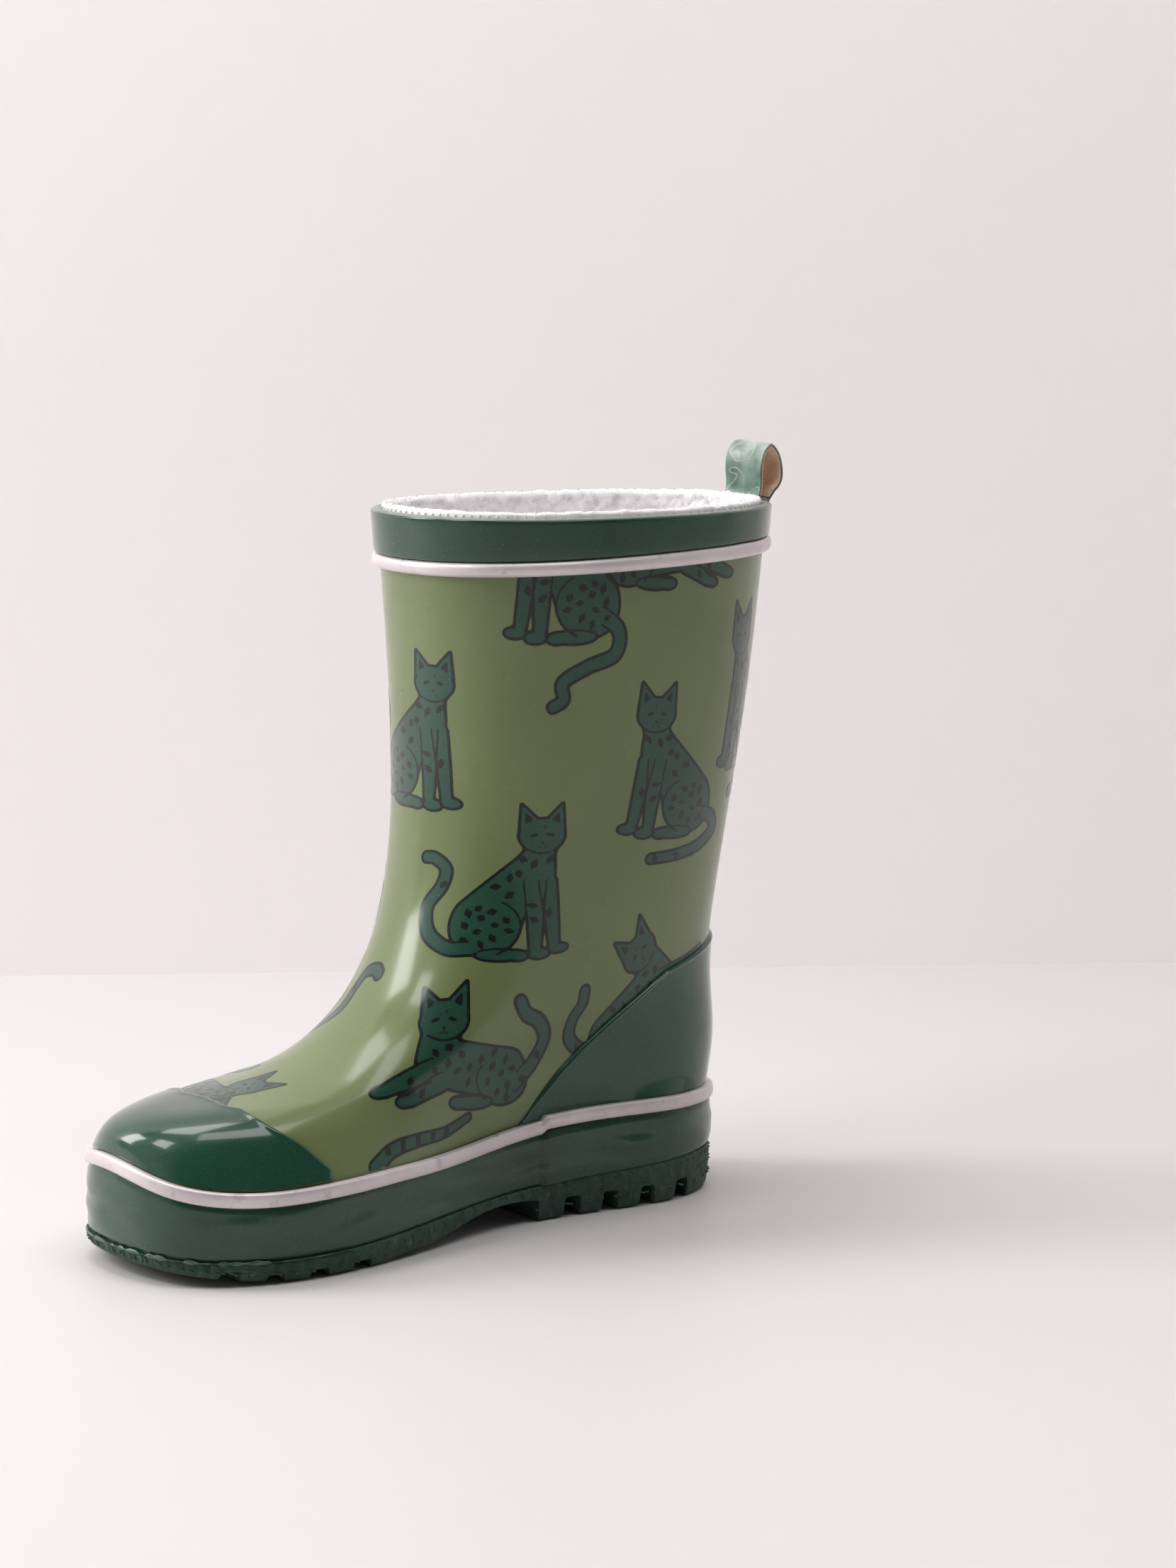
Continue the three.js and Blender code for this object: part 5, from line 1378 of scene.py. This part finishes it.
TAILS = {
    "sit": [(-9, -17.6), (-14.5, -17.2), (-19.8, -12), (-20.6, -4.5), (-16.4, 1.2), (-15.2, 6.2), (-18.6, 9.4), (-21.4, 9.8)],
    "sit_under": [(-9, -14), (-15.6, -15.6), (-17.6, -20), (-11, -24.6), (-2, -26.8), (6, -27.6)],
    "sit_hang": [(-9, -14), (-14, -18.5), (-13, -24.6), (-5, -27.6), (1.8, -31.5), (1.6, -36), (4.4, -38)],
}
# drawing, column degrees, height parameter, turn in degrees, mirrored, scale across and up
PLACES = [
    ("sit", 137.5, 0.49, 0, False, (1.05, 0.88)),
    ("sit_under", 77, 0.637, -4, True, (1.12, 0.9)),
    ("sit_hang", 120, 0.938, 0, True, (1.0, 1.0)),
    ("lie", 91, 0.972, 0, True, (1.0, 1.0)),
    ("sit", 184, 0.685, 0, False, (1.15, 0.9)),
    ("lie", 109.5, 0.215, -11, False, (1.08, 1.04)),
    ("lie", 70, 0.262, 40, True, (1.0, 1.0)),
    ("sit", 217, 0.345, 0, True, (1.0, 1.0)),
    ("sit", 166, 0.045, 26, False, (1.0, 1.0)),
    ("tail", 101, 0.016, -4, False, (1.0, 1.0)),
    ("sit_under", 35, 0.735, 0, True, (1.0, 1.0)),
    ("sit", 230, 0.58, 0, False, (1.0, 0.95)),
    ("lie", 285, 0.76, 0, True, (1.0, 1.0)),
    ("sit_under", 290, 0.48, 0, True, (1.0, 1.0)),
    ("sit_hang", 240, 0.935, 0, False, (1.0, 1.0)),
    ("lie", 318, 0.925, 0, False, (1.0, 1.0)),
    ("sit", 336, 0.69, 0, False, (0.95, 0.95)),
    ("lie", 262, 0.3, 8, False, (1.0, 1.0)),
    ("lie", 206, 0.145, 14, True, (0.95, 0.95)),
    ("sit", 268, 0.0, 6, True, (1.0, 1.0)),
    ("lie", 303, 0.23, -30, False, (1.0, 1.0)),
    ("lie", 350, 0.42, 0, True, (0.9, 0.9)),
]


def printed(name, layer, lift, mat):
    V, Fs, Nn = [], [], []
    base = 0
    for motif, th0, v0, rot, mirror, scale in PLACES:
        pts, polys = DRAWN[motif][layer]
        q = pts * np.array(scale)
        if mirror:
            q = q * [-1, 1]
        th, v = to_surface(th0 * RAD, v0, q, rot * RAD)
        ok = (v > 0.0005) & (v < 0.945)
        kept = [p for p in polys if all(ok[i] for i in p)]
        if not kept:
            continue
        used = sorted({i for p in kept for i in p})
        new = {o: i for i, o in enumerate(used)}
        kept = [[new[i] for i in (p[::-1] if mirror else p)] for p in kept]
        th, v = th[used], v[used]
        P, N_ = surf(th, v), normal(th, v)
        n = len(used)
        edges = {}
        for p in kept:
            for a, b in zip(p, p[1:] + p[:1]):
                edges[(a, b)] = edges.get((a, b), 0) + 1
        rim_edges = [(a, b) for (a, b) in edges if (b, a) not in edges]
        V.append(P + N_ * lift)
        V.append(P - N_ * 0.04)
        Nn += [N_, N_]
        Fs += [[i + base for i in p] for p in kept]
        Fs += [[i + n + base for i in p[::-1]] for p in kept]
        Fs += [[b + base, a + base, a + n + base, b + n + base] for a, b in rim_edges]
        base += 2 * n
    return add_mesh(name, np.concatenate(V), Fs, mat, smooth_angle=0, normals=np.concatenate(Nn))


DRAWN = {}
for key in ("sit", "sit_under", "sit_hang", "lie", "tail"):
    g, whole, ink = lying_cat() if key == "lie" else loose_tail() if key == "tail" else sitting_cat(TAILS[key])
    DRAWN[key] = {"fill": marching(whole, g.x0, g.y0, g.step), "ink": marching(ink, g.x0, g.y0, g.step)}
place(printed("print_green_cats", "fill", 0.035, CAT), "boot", "green_rubber")
place(printed("print_ink_lines", "ink", 0.06, INK), "boot", "green_rubber")

# ------------------------------------------------------------------ stage, light, camera
HEAD = Vector((-0.7985, 0.602, 0)).normalized()
RIGHT = Vector((0.602, 0.7985, 0)).normalized()
ORG = Vector((0, SHIFT_Y * 0.001, 0))


def stage_plane(name, corners, mat):
    me = bpy.data.meshes.new(name)
    me.from_pydata([tuple(c) for c in corners], [], [[0, 1, 2, 3]])
    ob = bpy.data.objects.new(name, me)
    bpy.context.scene.collection.objects.link(ob)
    me.materials.append(mat)
    return ob


def stage_mat(name, col, rough, one_sided=False):
    m = Mat(name)
    c = m.mix(m.mapr(m.noise(1.5, 2), 0.35, 0.65, 0, 1), col, tuple(min(1, x * 1.015) for x in col[:3]) + (1,))
    m.to("Base Color", c)
    m.set(Roughness=rough, Specular_IOR_Level=0.3)
    if one_sided:
        m.to("Emission Color", c)
        m.set(Emission_Strength=0.14)
        geo = m.t.nodes.new("ShaderNodeNewGeometry")
        tr = m.t.nodes.new("ShaderNodeBsdfTransparent")
        mx = m.t.nodes.new("ShaderNodeMixShader")
        out = m.t.nodes["Material Output"]
        m.link(geo.outputs["Backfacing"], mx.inputs[0])
        m.link(m.bsdf.outputs[0], mx.inputs[1])
        m.link(tr.outputs[0], mx.inputs[2])
        m.link(mx.outputs[0], out.inputs["Surface"])
    return m.m


FLOOR = stage_mat("floor_paper", srgb(212, 209, 209), 0.5)
WALL = stage_mat("wall_paper", srgb(246, 240, 240), 0.8, True)
z0 = -0.0002
stage_plane("floor", [(-4, -4, z0), (4, -4, z0), (4, 4, z0), (-4, 4, z0)], FLOOR)
wdir = (RIGHT * math.cos(6.5 * RAD) + HEAD * math.sin(6.5 * RAD)).normalized()
wc = ORG + HEAD * 0.345
stage_plane("wall", [wc - wdir * 3 + Vector((0, 0, z0)), wc + wdir * 3 + Vector((0, 0, z0)), wc + wdir * 3 + Vector((0, 0, 3)), wc - wdir * 3 + Vector((0, 0, 3))], WALL)


def area(name, pos, target, size, size_y, power, col=(1, 1, 1)):
    l = bpy.data.lights.new(name, "AREA")
    l.shape, l.size, l.size_y, l.energy, l.color = "RECTANGLE", size, size_y, power, col
    o = bpy.data.objects.new(name, l)
    bpy.context.scene.collection.objects.link(o)
    o.location = pos
    o.rotation_euler = (Vector(target) - Vector(pos)).to_track_quat("-Z", "Y").to_euler()
    return o


def at(right, head, up):
    return ORG + RIGHT * right + HEAD * head + Vector((0, 0, up))


mid = at(0, 0, 0.1)
area("window_left", at(-1.17, 0.12, 0.75), at(0, 0, 0.1), 0.62, 0.78, 15.5, (1.0, 0.99, 0.985))
area("front_left", at(-0.68, -0.5, 1.0), at(-0.05, 0, 0.0), 0.32, 0.34, 2.6, (1.0, 0.985, 0.985))
area("overhead", at(-0.27, 0.17, 1.25), at(-0.05, 0, 0.0), 0.5, 0.45, 4.2, (1.0, 0.985, 0.985))
area("wall_wash", at(0.4, -0.4, 1.6), at(0.4, 0.345, 0.35), 1.2, 0.5, 8.0, (1.0, 0.985, 0.985))

world = bpy.data.worlds.new("studio")
bpy.context.scene.world = world
world.use_nodes = True
wt = world.node_tree
bg = wt.nodes["Background"]
tc = wt.nodes.new("ShaderNodeTexCoord")
dot = wt.nodes.new("ShaderNodeVectorMath")
dot.operation = "DOT_PRODUCT"
dot.inputs[1].default_value = tuple((-HEAD * 0.9 + RIGHT * 0.38 + Vector((0, 0, 0.2))))
wt.links.new(tc.outputs["Generated"], dot.inputs[0])
rampn = wt.nodes.new("ShaderNodeValToRGB")
for e, (p, c) in zip(rampn.color_ramp.elements, [(0.25, (0.97, 0.955, 0.955, 1)), (0.7, (0.08, 0.076, 0.078, 1))]):
    e.position, e.color = p, c
wt.links.new(dot.outputs["Value"], rampn.inputs["Fac"])
wt.links.new(rampn.outputs["Color"], bg.inputs["Color"])
bg.inputs["Strength"].default_value = 0.72

cam_data = bpy.data.cameras.new("camera")
cam = bpy.data.objects.new("camera", cam_data)
bpy.context.scene.collection.objects.link(cam)
cam_data.lens = 91.013
cam_data.sensor_width = 36
cam_data.clip_start = 0.05
pitch, roll = 8.285 * RAD, 0.582 * RAD
fwd = HEAD * math.cos(pitch) - Vector((0, 0, math.sin(pitch)))
upv = HEAD * math.sin(pitch) + Vector((0, 0, math.cos(pitch)))
cx = RIGHT * math.cos(roll) + upv * math.sin(roll)
cy = upv * math.cos(roll) - RIGHT * math.sin(roll)
cam.matrix_world = Matrix(((cx.x, cy.x, -fwd.x, 0.8609), (cx.y, cy.y, -fwd.y, -0.5995 + SHIFT_Y * 0.001), (cx.z, cy.z, -fwd.z, 0.27047), (0, 0, 0, 1)))
bpy.context.scene.camera = cam
bpy.context.scene.view_settings.view_transform = "Standard"
